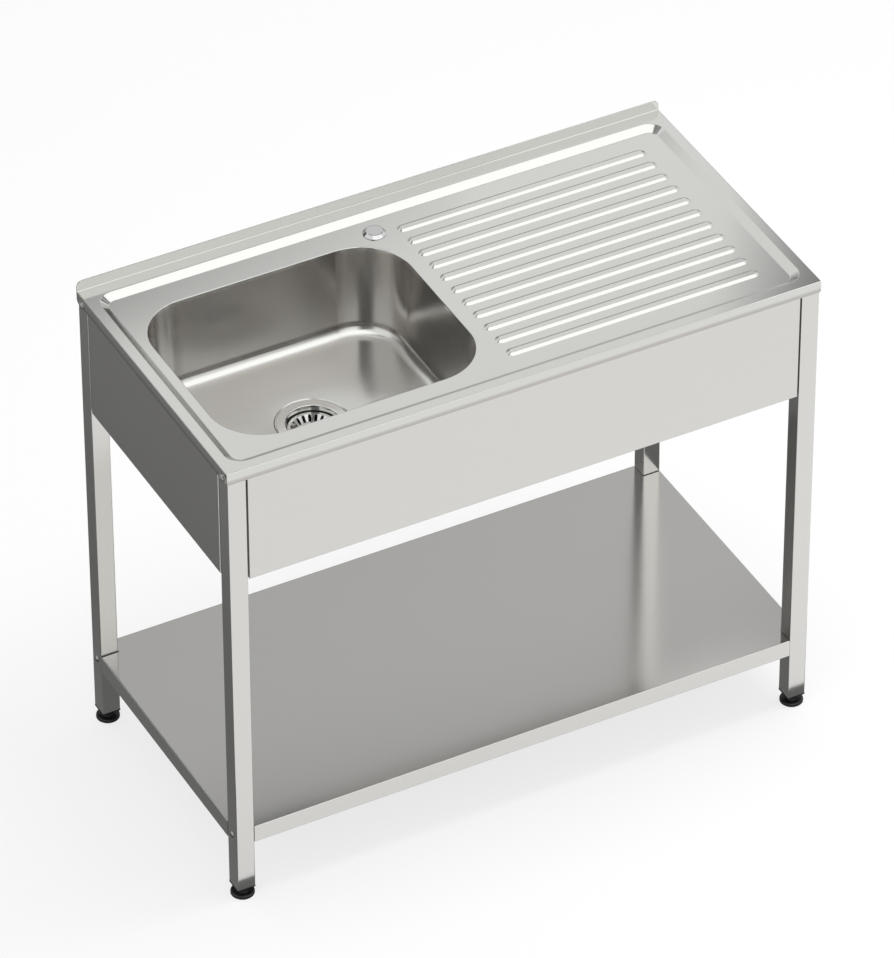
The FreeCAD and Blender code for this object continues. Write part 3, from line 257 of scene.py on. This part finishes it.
def smooth_step(tree, value, low, high):
    """0 at low, 1 at high and soft between; low may be the greater."""
    node = tree.nodes.new("ShaderNodeMapRange")
    node.interpolation_type = "SMOOTHSTEP"
    node.inputs["From Min"].default_value = low
    node.inputs["From Max"].default_value = high
    tree.links.new(value, node.inputs["Value"])
    return node.outputs["Result"]


def own_place(tree):
    """Socket of the place on the object itself."""
    return tree.nodes.new("ShaderNodeTexCoord").outputs["Object"]


def split_axes(tree, vector):
    """Sockets of the X, Y and Z of a vector."""
    node = tree.nodes.new("ShaderNodeSeparateXYZ")
    tree.links.new(vector, node.inputs[0])
    return node.outputs


def stretched(tree, vector, factors):
    """Vector times three factors, which are a socket or numbers."""
    node = tree.nodes.new("ShaderNodeVectorMath")
    node.operation = "MULTIPLY"
    tree.links.new(vector, node.inputs[0])
    feed(tree, factors, node.inputs[1])
    return node.outputs[0]


def noise(tree, vector, scale, detail):
    """Soft noise from 0 to 1."""
    node = tree.nodes.new("ShaderNodeTexNoise")
    node.inputs["Scale"].default_value = scale
    node.inputs["Detail"].default_value = detail
    tree.links.new(vector, node.inputs["Vector"])
    return node.outputs["Fac"]


def about_zero(tree, value, amount):
    """Noise moved to lie about zero, and made as wide as amount."""
    return math_node(tree, "MULTIPLY", math_node(tree, "SUBTRACT", value, 0.5), amount)


def relief(tree, height, strength, distance):
    """Bump node over a height."""
    node = tree.nodes.new("ShaderNodeBump")
    node.inputs["Strength"].default_value = strength
    node.inputs["Distance"].default_value = distance
    tree.links.new(height, node.inputs["Height"])
    return node


def rounded_edges(tree, radius):
    """Normal that rounds pressed and cut edges."""
    node = tree.nodes.new("ShaderNodeBevel")
    node.samples = EDGE_SAMPLES
    node.inputs["Radius"].default_value = radius
    return node.outputs["Normal"]


def brushed_grain():
    """Fine lines along one axis: a height, and a roughness with those lines and broad smudges."""
    tree, given, out = new_group(
        "Brushed grain",
        [("Lines", "NodeSocketVector", (4.0, 1500.0, 1500.0)), ("Amount", "NodeSocketFloat", 0.04),
         ("Base roughness", "NodeSocketFloat", 0.25)],
        [("Height", "NodeSocketFloat"), ("Roughness", "NodeSocketFloat")])
    place = own_place(tree)
    lines = noise(tree, stretched(tree, place, given.outputs["Lines"]), scale=1.0, detail=3.0)
    smudges = noise(tree, place, scale=7.0, detail=2.0)
    fine = about_zero(tree, lines, given.outputs["Amount"])
    broad = about_zero(tree, smudges, SMUDGE_AMOUNT)
    rough = math_node(tree, "ADD", given.outputs["Base roughness"], math_node(tree, "ADD", fine, broad))
    tree.links.new(lines, out.inputs["Height"])
    tree.links.new(rough, out.inputs["Roughness"])


# ---------------------------------------------------------------- materials

def new_material(name, colour, metallic, roughness):
    """Material with a plain Principled shader: (material, tree, shader)."""
    material = bpy.data.materials.new(name)
    material.use_nodes = True
    shader = material.node_tree.nodes["Principled BSDF"]
    shader.inputs["Base Color"].default_value = (*colour, 1.0)
    shader.inputs["Metallic"].default_value = metallic
    shader.inputs["Roughness"].default_value = roughness
    return material, material.node_tree, shader


def steel(name, colour, roughness, lines, amount, bump, edge):
    """Brushed stainless steel with its grain along one axis and softly rounded edges."""
    material, tree, shader = new_material(name, colour, 1.0, roughness)
    grain = tree.nodes.new("ShaderNodeGroup")
    grain.node_tree = bpy.data.node_groups["Brushed grain"]
    grain.inputs["Lines"].default_value = lines
    grain.inputs["Amount"].default_value = amount
    grain.inputs["Base roughness"].default_value = roughness
    tree.links.new(grain.outputs["Roughness"], shader.inputs["Roughness"])
    grained = relief(tree, grain.outputs["Height"], bump, GRAIN_RELIEF)
    tree.links.new(rounded_edges(tree, edge), grained.inputs["Normal"])
    tree.links.new(grained.outputs["Normal"], shader.inputs["Normal"])
    return material, grain


def grain_lines(finish, axis):
    """Changes in a metre along X, Y and Z, for brush lines that run along one of them."""
    lines = [1.0 / finish.grain_pitch] * 3
    lines["XYZ".index(axis)] = GRAIN_ALONG
    return lines


def paint_bowl_shade(material, grain, finish):
    """Painted shade on the bowl: the upright walls below the sunk deck are given a darker colour that stands in
    for the shade inside the deep bowl, broken by faint upright streaks from the deep drawing, and the steel
    below the deck is made satin.
    """
    tree = material.node_tree
    shader = tree.nodes["Principled BSDF"]
    place = tree.nodes.new("ShaderNodeTexCoord").outputs
    depth = math_node(tree, "SUBTRACT", DECK_HEIGHT, split_axes(tree, place["Object"])["Z"])
    inside = smooth_step(tree, depth, BOWL_SHADE_AND_SATIN_FROM, BOWL_SHADE_AND_SATIN_FULL)
    facing = math_node(tree, "ABSOLUTE", split_axes(tree, place["Normal"])["Z"])
    upright = smooth_step(tree, facing, LEVEL_FACE, UPRIGHT_FACE)
    streaks = noise(tree, stretched(tree, place["Object"], STREAK_STRETCH), scale=1.0, detail=2.0)
    streaked = math_node(tree, "ADD", math_node(tree, "MULTIPLY", streaks, STREAK_CHANGE), STREAK_LEAST)
    # Amount of painted shade: the upright walls below the deck, varied by the streaks
    shaded = math_node(tree, "MULTIPLY", math_node(tree, "MULTIPLY", inside, upright), streaked)
    # Painted shade: the darker colour is blended into the steel colour
    painted_shade_mix = tree.nodes.new("ShaderNodeMix")
    painted_shade_mix.data_type = "RGBA"
    tree.links.new(math_node(tree, "MINIMUM", shaded, 1.0), painted_shade_mix.inputs["Factor"])
    painted_shade_mix.inputs["A"].default_value = (*finish.top_colour, 1.0)
    painted_shade_mix.inputs["B"].default_value = (*finish.bowl_shade_colour, 1.0)
    tree.links.new(painted_shade_mix.outputs["Result"], shader.inputs["Base Color"])
    satin = math_node(tree, "MULTIPLY", inside, finish.bowl_roughness - finish.top_roughness)
    tree.links.new(math_node(tree, "ADD", satin, grain.outputs["Roughness"]), shader.inputs["Roughness"])


def moulded(name, colour, roughness):
    """Moulded plastic or rubber with a fine skin."""
    material, tree, shader = new_material(name, colour, 0.0, roughness)
    skin = relief(tree, noise(tree, own_place(tree), scale=900.0, detail=2.0), SKIN_STRENGTH, SKIN_RELIEF)
    tree.links.new(skin.outputs["Normal"], shader.inputs["Normal"])
    return material


def plated(name, colour, roughness):
    """Polished or plated metal with faint handling marks and crisp edges."""
    material, tree, shader = new_material(name, colour, 1.0, roughness)
    marks = about_zero(tree, noise(tree, own_place(tree), scale=160.0, detail=4.0), MARK_AMOUNT)
    gloss = math_node(tree, "MAXIMUM", math_node(tree, "ADD", marks, roughness), LEAST_ROUGHNESS)
    tree.links.new(gloss, shader.inputs["Roughness"])
    tree.links.new(rounded_edges(tree, PLATED_EDGE), shader.inputs["Normal"])
    return material


def dress(names, material):
    """Give CAD nodes one finish."""
    for name in names:
        mesh = NODES[name].data
        mesh.materials.clear()
        mesh.materials.append(material)


# ---------------------------------------------------------------- mesh helpers

def new_object(name, mesh):
    """Object in the scene for a mesh."""
    thing = bpy.data.objects.new(name, mesh)
    bpy.context.scene.collection.objects.link(thing)
    return thing


def new_piece(name, bm, material, body, node):
    """Piece that stands for a CAD node, rides on its body and takes the finish that it is given."""
    for face in bm.faces:
        face.smooth = True
    for edge in bm.edges:
        edge.smooth = edge.calc_face_angle(0.0) < SHARP_ANGLE
    mesh = bpy.data.meshes.new(name)
    bm.to_mesh(mesh)
    bm.free()
    mesh.materials.append(material)
    piece = new_object(name, mesh)
    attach(piece, body)
    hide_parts(node)


def rings_to_solid(bm, rings, place):
    """Closed solid from rings of points, one after another along its axis."""
    loops = [[bm.verts.new(place @ point) for point in ring] for ring in rings]
    count = len(rings[0])
    for near, far in zip(loops, loops[1:]):
        for index in range(count):
            after = (index + 1) % count
            bm.faces.new((near[index], near[after], far[after], far[index]))
    bm.faces.new(list(reversed(loops[0])))
    bm.faces.new(loops[-1])


def ring_point(radius, angle, height):
    """Point at a radius and an angle round the axis."""
    return Vector((radius * math.cos(angle), radius * math.sin(angle), height))


def round_ring(radius, height, sides):
    """Ring of one radius at one height."""
    return [ring_point(radius, math.tau * index / sides, height) for index in range(sides)]


def hexagon_ring(limit, height, sides):
    """Ring of the stud's hexagon, with its corners cut back to a radius."""
    ring = []
    for index in range(sides):
        angle = math.tau * index / sides
        from_flat = (angle + math.pi / 6) % (math.pi / 3) - math.pi / 6
        radius = min(0.5 * HEXAGON_FLATS / math.cos(from_flat), limit)
        ring.append(ring_point(radius, angle, height))
    return ring


def thread_ring(height, start, end, pitch, sides):
    """Ring of the stud's thread: a vee groove that winds up the stud and runs out at its ends."""
    run_out = min(max((height - start) / pitch, 0.0), max((end - height) / pitch, 0.0), 1.0)
    ring = []
    for index in range(sides):
        phase = (height / pitch - index / sides) % 1.0
        groove = max(1.0 - abs(2.0 * phase - 1.0) * THREAD_FLANK, 0.0)
        radius = STUD_CREST - THREAD_DEPTH * groove * run_out
        ring.append(ring_point(radius, math.tau * index / sides, height))
    return ring


def cross_recess(point):
    """Depth of the cross recess under a point of the screw head."""
    depth = 0.0
    for along, across in ((point.x, point.y), (point.y, point.x)):
        inside = min(max((RECESS_REACH - abs(along)) / RECESS_END_SLOPE, 0.0), 1.0)
        middle = min(max((RECESS_HALF_WIDTH - abs(across)) / RECESS_SIDE_SLOPE, 0.0), 1.0)
        depth = max(depth, inside * middle)
    return depth * RECESS_DEPTH


def recessed_screw(bm, place):
    """Round-headed screw with a cross recess: its shank runs down from the underside of its head."""
    rings = [round_ring(SCREW_SHANK - 0.5 * MM, -SCREW_LENGTH, SCREW_SIDES),
             round_ring(SCREW_SHANK, -SCREW_LENGTH + 0.6 * MM, SCREW_SIDES),
             round_ring(SCREW_SHANK, 0.0, SCREW_SIDES),
             round_ring(SCREW_HEAD - 0.15 * MM, 0.0, SCREW_SIDES)]
    for share in HEAD_RINGS:
        ring = round_ring(SCREW_HEAD * share, 0.0, SCREW_SIDES)
        dome = SCREW_HEAD_HEIGHT * (1.0 - share ** SCREW_DOME) ** 0.5
        for point in ring:
            point.z = dome - cross_recess(point)
        rings.append(ring)
    rings_to_solid(bm, rings, place)


def threaded_stud(bm, place, pitch, sides):
    """Levelling stud upright from the lower end of its tip: tip, hexagon and thread."""
    hexagon_top = STUD_TIP_LENGTH + HEXAGON_THICKNESS
    thread_top = hexagon_top + THREAD_LENGTH
    rings = [round_ring(STUD_TIP - 0.3 * MM, 0.0, sides),
             round_ring(STUD_TIP, 0.3 * MM, sides),
             round_ring(STUD_TIP, STUD_TIP_LENGTH, sides),
             hexagon_ring(HEXAGON_FACE_LIMIT, STUD_TIP_LENGTH, sides),
             hexagon_ring(HEXAGON_FULL_LIMIT, STUD_TIP_LENGTH + HEXAGON_BEVEL, sides),
             hexagon_ring(HEXAGON_FULL_LIMIT, hexagon_top - HEXAGON_BEVEL, sides),
             hexagon_ring(HEXAGON_FACE_LIMIT, hexagon_top, sides)]
    steps = int(THREAD_LENGTH / (pitch / THREAD_RINGS))
    for step in range(steps + 1):
        height = hexagon_top + THREAD_LENGTH * step / steps
        rings.append(thread_ring(height, hexagon_top, thread_top, pitch, sides))
    rings.append(round_ring(STUD_END, thread_top + STUD_END_BEVEL, sides))
    rings_to_solid(bm, rings, place)


# ---------------------------------------------------------------- operators

class SINKUNIT_OT_steel_top(bpy.types.Operator):
    """Finish the pressed top"""
    bl_idname = "sinkunit.steel_top"
    bl_label = "Steel Top"

    def execute(self, context):
        finish = context.scene.sink_steel
        material, grain = steel("Pressed steel", finish.top_colour, finish.top_roughness,
                                lines=grain_lines(finish, "X"), edge=finish.edge_radius, **FINE_GRAIN)
        # Paints shade on the walls inside the bowl
        paint_bowl_shade(material, grain, finish)
        dress(["sink_top"], material)
        return {"FINISHED"}


class SINKUNIT_OT_steel_frame(bpy.types.Operator):
    """Finish the legs, aprons, shelf and channels"""
    bl_idname = "sinkunit.steel_frame"
    bl_label = "Steel Frame"

    def execute(self, context):
        finish = context.scene.sink_steel
        common = {"colour": finish.frame_colour, "edge": finish.edge_radius}
        bright = {"roughness": finish.frame_roughness, **FINE_GRAIN, **common}
        duller = {"roughness": finish.apron_roughness, **COARSE_GRAIN, **common}
        across = ["left_apron", "right_apron", "drainer_stiffener_left", "drainer_stiffener_right"]
        for name, look, axis, nodes in (
                ("Shelf steel", bright, "X", ["shelf", "shelf_stiffener"]),
                ("Apron steel", duller, "X", ["front_apron", "rear_apron"]),
                ("Side apron steel", duller, "Y", across),
                ("Tube steel", bright, "Z", [f"leg_{leg}" for leg in LEGS])):
            material, _ = steel(name, lines=grain_lines(finish, axis), **look)
            dress(nodes, material)
        return {"FINISHED"}


class SINKUNIT_OT_small_parts(bpy.types.Operator):
    """Finish the feet, plugs, seals, waste and cap, and make the finish of the fasteners"""
    bl_idname = "sinkunit.small_parts"
    bl_label = "Small Parts"

    def execute(self, context):
        finish = context.scene.sink_small
        plastic = moulded("Black plastic", finish.plastic_colour, roughness=0.35)
        rubber = moulded("Black rubber", finish.rubber_colour, roughness=0.6)
        felt = moulded("Damping pad", finish.felt_colour, roughness=0.9)
        clip = moulded("White plastic", finish.clip_colour, roughness=0.4)
        chrome = plated("Chrome plate", finish.chrome_colour, roughness=0.05)
        bright = plated("Bright steel", finish.bright_colour, roughness=0.12)
        plated("Plated steel", finish.plated_colour, roughness=0.26)
        dress([f"leg_plug_{leg}" for leg in LEGS], plastic)
        dress([f"foot_pad_{leg}" for leg in LEGS], plastic)
        dress(["waste_body", "basket_knob"], plastic)
        dress(["waste_flange_seal", "waste_gasket", "basket_seal"], rubber)
        dress(["bowl_sound_pad"], felt)
        dress(["tap_hole_clip"], clip)
        dress(["tap_hole_cover"], chrome)
        dress(["waste_flange", "basket_strainer"], bright)
        return {"FINISHED"}


class SINKUNIT_OT_fasteners(bpy.types.Operator):
    """Make the cross-head leg screws, and finish the bolts, nuts and central screw"""
    bl_idname = "sinkunit.fasteners"
    bl_label = "Fasteners"

    def execute(self, context):
        material = bpy.data.materials["Plated steel"]
        dress(["leg_top_nuts", "shelf_bolts", "shelf_nuts", "waste_clamp_screw"], material)
        low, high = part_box("leg_top_screws")
        centre_z = (low[2] + high[2]) / 2
        bm = bmesh.new()
        for outward in (-1, 1):
            underside = (high[0] - SCREW_HEAD_HEIGHT) * outward
            turn = Matrix.Rotation(outward * math.pi / 2, 4, "Y") @ Matrix.Rotation(SCREW_TURN, 4, "Z")
            for y in (low[1] + SCREW_HEAD, high[1] - SCREW_HEAD):
                recessed_screw(bm, Matrix.Translation((underside, y, centre_z)) @ turn)
        new_piece("cross_head_screws", bm, material, "stand", "leg_top_screws")
        return {"FINISHED"}


class SINKUNIT_OT_levelling_studs(bpy.types.Operator):
    """Make the four threaded studs between the feet and the plugs"""
    bl_idname = "sinkunit.levelling_studs"
    bl_label = "Levelling Studs"

    def execute(self, context):
        finish = context.scene.sink_small
        for leg in LEGS:
            low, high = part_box(f"foot_stud_{leg}")
            foot = Matrix.Translation(((low[0] + high[0]) / 2, (low[1] + high[1]) / 2, low[2]))
            bm = bmesh.new()
            threaded_stud(bm, foot, finish.thread_pitch, finish.thread_sides)
            new_piece(f"levelling_stud_{leg}", bm, bpy.data.materials["Plated steel"],
                      f"stud_{leg}", f"foot_stud_{leg}")
        return {"FINISHED"}


class SINKUNIT_OT_studio(bpy.types.Operator):
    """Make the floor, the light of the room, the lamp, the cards and the camera"""
    bl_idname = "sinkunit.studio"
    bl_label = "Studio"

    def execute(self, context):
        settings = context.scene.sink_studio
        make_floor(settings)
        make_room(context.scene, settings)
        make_lamp(settings)
        make_cards()
        make_camera(context.scene, settings)
        context.scene.view_settings.view_transform = "Standard"
        return {"FINISHED"}


# ---------------------------------------------------------------- studio

def level_sheet(x_low, x_high, y_low, y_high, z):
    """Corners of a sheet that lies level."""
    return [(x_low, y_low, z), (x_high, y_low, z), (x_high, y_high, z), (x_low, y_high, z)]


def upright_sheet(x_low, x_high, y, z_low, z_high):
    """Corners of a sheet that stands square to the unit's front."""
    return [(x_low, y, z_low), (x_high, y, z_low), (x_high, y, z_high), (x_low, y, z_high)]


def flat_sheet(name, corners, material):
    """One four-sided sheet of the studio."""
    mesh = bpy.data.meshes.new(name)
    mesh.from_pydata([Vector(corner) for corner in corners], [], [(0, 1, 2, 3)])
    mesh.materials.append(material)
    thing = new_object(name, mesh)
    return thing


def camera_or_gloss(tree):
    """1 for rays of the camera, of gloss and of glass, and 0 for the light that falls on things."""
    path = tree.nodes.new("ShaderNodeLightPath")
    seen = math_node(tree, "MAXIMUM", path.outputs["Is Camera Ray"], path.outputs["Is Glossy Ray"])
    return math_node(tree, "MAXIMUM", seen, path.outputs["Is Transmission Ray"])


def mix_shaders(tree, share, first, second, target):
    """Lead a mix of two shaders to an input; share is the part of the second."""
    node = tree.nodes.new("ShaderNodeMixShader")
    tree.links.new(share, node.inputs["Fac"])
    tree.links.new(first, node.inputs[1])
    tree.links.new(second, node.inputs[2])
    tree.links.new(node.outputs["Shader"], target)


def make_floor(settings):
    """Pale floor that shows nearly white and keeps the unit's shadow."""
    material, tree, shader = new_material("Studio floor", settings.floor_colour, 0.0, 0.9)
    shader.inputs["Specular IOR Level"].default_value = 0.0
    shown = tree.nodes.new("ShaderNodeEmission")
    shown.inputs["Color"].default_value = WHITE
    share = math_node(tree, "MULTIPLY", camera_or_gloss(tree), FLOOR_GLOW)
    mix_shaders(tree, share, shader.outputs["BSDF"], shown.outputs["Emission"],
                tree.nodes["Material Output"].inputs["Surface"])
    flat_sheet("studio_floor", level_sheet(-FLOOR_HALF, FLOOR_HALF, -FLOOR_HALF, FLOOR_HALF, 0), material)


def make_room(scene, settings):
    """Even light of the room, and a white background."""
    world = bpy.data.worlds.new("Studio room")
    scene.world = world
    world.use_nodes = True
    tree = world.node_tree
    light = tree.nodes["Background"]
    light.inputs["Color"].default_value = WHITE
    light.inputs["Strength"].default_value = settings.room_strength
    white = tree.nodes.new("ShaderNodeBackground")
    white.inputs["Color"].default_value = WHITE
    white.inputs["Strength"].default_value = 1.0
    mix_shaders(tree, camera_or_gloss(tree), light.outputs["Background"], white.outputs["Background"],
                tree.nodes["World Output"].inputs["Surface"])


def make_lamp(settings):
    """Soft lamp overhead; gloss sees the soft box card in its place."""
    data = bpy.data.lights.new("ceiling_lamp", "AREA")
    data.shape = "RECTANGLE"
    data.size = LAMP_WIDTH
    data.size_y = LAMP_DEPTH
    data.energy = settings.ceiling_power
    lamp = bpy.data.objects.new("ceiling_lamp", data)
    lamp.location = LAMP_PLACE
    lamp.visible_glossy = False
    bpy.context.scene.collection.objects.link(lamp)


def card_material(name, brightness=1.0):
    """Card that gives one even brightness to what mirrors it: (material, tree, emission node)."""
    material = bpy.data.materials.new(name)
    material.use_nodes = True
    tree = material.node_tree
    tree.nodes.clear()
    glow = tree.nodes.new("ShaderNodeEmission")
    glow.inputs["Color"].default_value = WHITE
    glow.inputs["Strength"].default_value = brightness
    out = tree.nodes.new("ShaderNodeOutputMaterial")
    tree.links.new(glow.outputs["Emission"], out.inputs["Surface"])
    return material, tree, glow


def plain_card(name, brightness):
    """Material of a card with one even brightness."""
    material, _, _ = card_material(name, brightness)
    return material


def position_on_card(tree):
    """Sockets of a card's own X and Z."""
    axes = split_axes(tree, own_place(tree))
    return axes["X"], axes["Z"]


def ramp_node(tree, value, stops, interpolation="LINEAR"):
    """Grey ramp over a value: stops are (position, brightness)."""
    node = tree.nodes.new("ShaderNodeValToRGB")
    node.color_ramp.interpolation = interpolation
    elements = node.color_ramp.elements
    elements[0].position, elements[1].position = stops[0][0], stops[-1][0]
    for position, _ in stops[1:-1]:
        elements.new(position)
    for element, (_, grey) in zip(elements, stops):
        element.color = (grey, grey, grey, 1.0)
    tree.links.new(value, node.inputs["Fac"])
    return node.outputs["Color"]


def far_backdrop():
    """Grey backdrop that the shelf mirrors, dark near the floor."""
    material, tree, glow = card_material("Far backdrop")
    x, z = position_on_card(tree)
    by_height = ramp_node(
        tree, math_node(tree, "DIVIDE", z, RAMP_HEIGHT),
        [(0.30, 0.14), (0.40, 0.48), (0.55, 0.58), (0.715, 0.58), (0.755, 0.47)], "EASE")
    across = ramp_node(tree, math_node(tree, "DIVIDE", x, RAMP_WIDTH), [(0.2, 0.96), (0.8, 1.05)])
    tree.links.new(math_node(tree, "MULTIPLY", by_height, across), glow.inputs["Strength"])
    return material


def left_floor():
    """Dark floor beside the unit, a little paler right at it and further out."""
    material, tree, glow = card_material("Left floor card")
    x, _ = position_on_card(tree)
    outward = math_node(tree, "MULTIPLY", x, -1.0)
    shade = ramp_node(tree, outward, [(0.52, 0.185), (0.64, 0.155), (0.78, 0.155), (0.90, 0.195)])
    tree.links.new(shade, glow.inputs["Strength"])
    return material


def bowl_card():
    """Card that the rear wall of the bowl mirrors, paler at its left."""
    material, tree, glow = card_material("Bowl card")
    x, _ = position_on_card(tree)
    shade = ramp_node(tree, x, [(0.05, 1.0), (0.25, 0.85), (0.40, 0.45), (0.50, 0.22)])
    tree.links.new(shade, glow.inputs["Strength"])
    return material


def near_backdrop():
    """Bright sheet that the top mirrors: its lower left corner and its right end fall off softly."""
    material, tree, glow = card_material("Near backdrop")
    x, z = position_on_card(tree)
    by_height = ramp_node(
        tree, math_node(tree, "DIVIDE", z, RAMP_HEIGHT),
        [(0.422, 0.80), (0.445, 0.96), (0.600, 0.93), (0.672, 0.93), (0.688, 0.22)], "EASE")
    from_left = ramp_node(tree, math_node(tree, "ADD", x, 0.5), [(0.30, 0.50), (1.0, 0.93), (1.2, 1.0)])
    low_part = smooth_step(tree, z, 1.57, 1.37)
    mixed = tree.nodes.new("ShaderNodeMix")
    mixed.data_type = "FLOAT"
    tree.links.new(low_part, mixed.inputs["Factor"])
    mixed.inputs["A"].default_value = 1.0
    tree.links.new(from_left, mixed.inputs["B"])
    slanted = math_node(tree, "ADD", x, math_node(tree, "MULTIPLY", z, NEAR_SLANT))
    from_right = ramp_node(
        tree, math_node(tree, "DIVIDE", slanted, RAMP_WIDTH), [(0.632, 1.0), (0.733, 0.38), (0.768, 0.2)])
    ends = math_node(tree, "MULTIPLY", mixed.outputs["Result"], from_right)
    tree.links.new(math_node(tree, "MULTIPLY", by_height, ends), glow.inputs["Strength"])
    return material


def make_cards():
    """Cards that only gloss sees: a soft box, two graded backdrops, and dark ones round the unit."""
    dark = plain_card("Dark card", 0.16)
    grey = plain_card("Grey card", 0.14)
    dim = plain_card("Dim card", 0.30)
    bright = plain_card("Bright card", 1.32)
    soft = plain_card("Soft box", 1.5)
    cards = {
        "card_soft_box": (soft, level_sheet(-1.0, 2.4, -1.2, 0.36, CARD_CEILING)),
        "card_overhead": (dim, level_sheet(-1.0, 2.4, 0.36, NEAR_PLANE, CARD_CEILING)),
        "card_far": (far_backdrop(), upright_sheet(-0.45, 2.8, FAR_PLANE, 0.3, 3.0)),
        "card_near": (near_backdrop(), upright_sheet(-0.36, 1.9, NEAR_PLANE, 1.265, CARD_CEILING)),
        "card_rear_left": (grey, upright_sheet(-3.2, -0.46, FAR_PLANE, 0.8, 2.36)),
        "card_front_high": (bright, upright_sheet(-1.0, 2.6, FRONT_PLANE, 1.7, 4.4)),
        "card_front_left": (dark, upright_sheet(-3.4, -1.0, FRONT_PLANE, 0.8, 4.4)),
        "card_before_bowl": (bowl_card(), upright_sheet(-0.3, 0.75, BOWL_PLANE, 1.22, 1.60)),
        "card_floor_left": (left_floor(), level_sheet(-2.2, -0.505, -0.5, 2.4, FLOOR_PLANE)),
        "card_floor_below": (dark, level_sheet(-0.505, 0.7, -0.29, 2.4, FLOOR_PLANE)),
    }
    for name, (material, corners) in cards.items():
        card = flat_sheet(name, corners, material)
        card.visible_camera = False
        card.visible_diffuse = False
        card.visible_transmission = False
        card.visible_shadow = False


def make_camera(scene, settings):
    """Camera at the photograph's viewing angle."""
    level = math.cos(CAMERA_ELEVATION)
    back = Vector((math.sin(CAMERA_AZIMUTH) * level, -math.cos(CAMERA_AZIMUTH) * level,
                   math.sin(CAMERA_ELEVATION)))
    data = bpy.data.cameras.new("camera")
    data.lens = settings.camera_lens
    data.sensor_width = SENSOR_WIDTH
    data.clip_end = CLIP_END
    camera = bpy.data.objects.new("camera", data)
    turn = (-back).to_track_quat("-Z", "Y").to_matrix() @ Matrix.Rotation(CAMERA_ROLL, 3, "Z")
    place = Matrix.Translation(CAMERA_TARGET + back * settings.camera_distance)
    camera.matrix_world = place @ turn.to_4x4()
    scene.collection.objects.link(camera)
    scene.camera = camera


# ---------------------------------------------------------------- panel and registration

class VIEW3D_PT_sink_unit(bpy.types.Panel):
    """Lists the steps that make the sink unit, and its settings"""
    bl_label = "Sink Unit"
    bl_space_type = "VIEW_3D"
    bl_region_type = "UI"
    bl_category = "Sink Unit"

    def draw(self, context):
        layout = self.layout
        for operator in OPERATORS:
            layout.operator(operator.bl_idname)
        for name in ("sink_steel", "sink_small", "sink_studio"):
            group = getattr(context.scene, name)
            box = layout.box()
            for prop in group.__annotations__:
                box.prop(group, prop)


OPERATORS = (SINKUNIT_OT_steel_top, SINKUNIT_OT_steel_frame, SINKUNIT_OT_small_parts, SINKUNIT_OT_fasteners,
             SINKUNIT_OT_levelling_studs, SINKUNIT_OT_studio)
CLASSES = (SteelFinish, SmallPartFinish, StudioSettings, *OPERATORS, VIEW3D_PT_sink_unit)


def register():
    """Register the classes and give the scene its settings."""
    for item in CLASSES:
        bpy.utils.register_class(item)
    bpy.types.Scene.sink_steel = PointerProperty(type=SteelFinish)
    bpy.types.Scene.sink_small = PointerProperty(type=SmallPartFinish)
    bpy.types.Scene.sink_studio = PointerProperty(type=StudioSettings)


def unregister():
    """Take the settings and the classes away again."""
    del bpy.types.Scene.sink_studio
    del bpy.types.Scene.sink_small
    del bpy.types.Scene.sink_steel
    for item in reversed(CLASSES):
        bpy.utils.unregister_class(item)


def main():
    """Dress the frame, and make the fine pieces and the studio."""
    register()
    brushed_grain()
    bpy.ops.sinkunit.steel_top()
    bpy.ops.sinkunit.steel_frame()
    bpy.ops.sinkunit.small_parts()
    bpy.ops.sinkunit.fasteners()
    bpy.ops.sinkunit.levelling_studs()
    bpy.ops.sinkunit.studio()


if __name__ == "__main__":
    main()
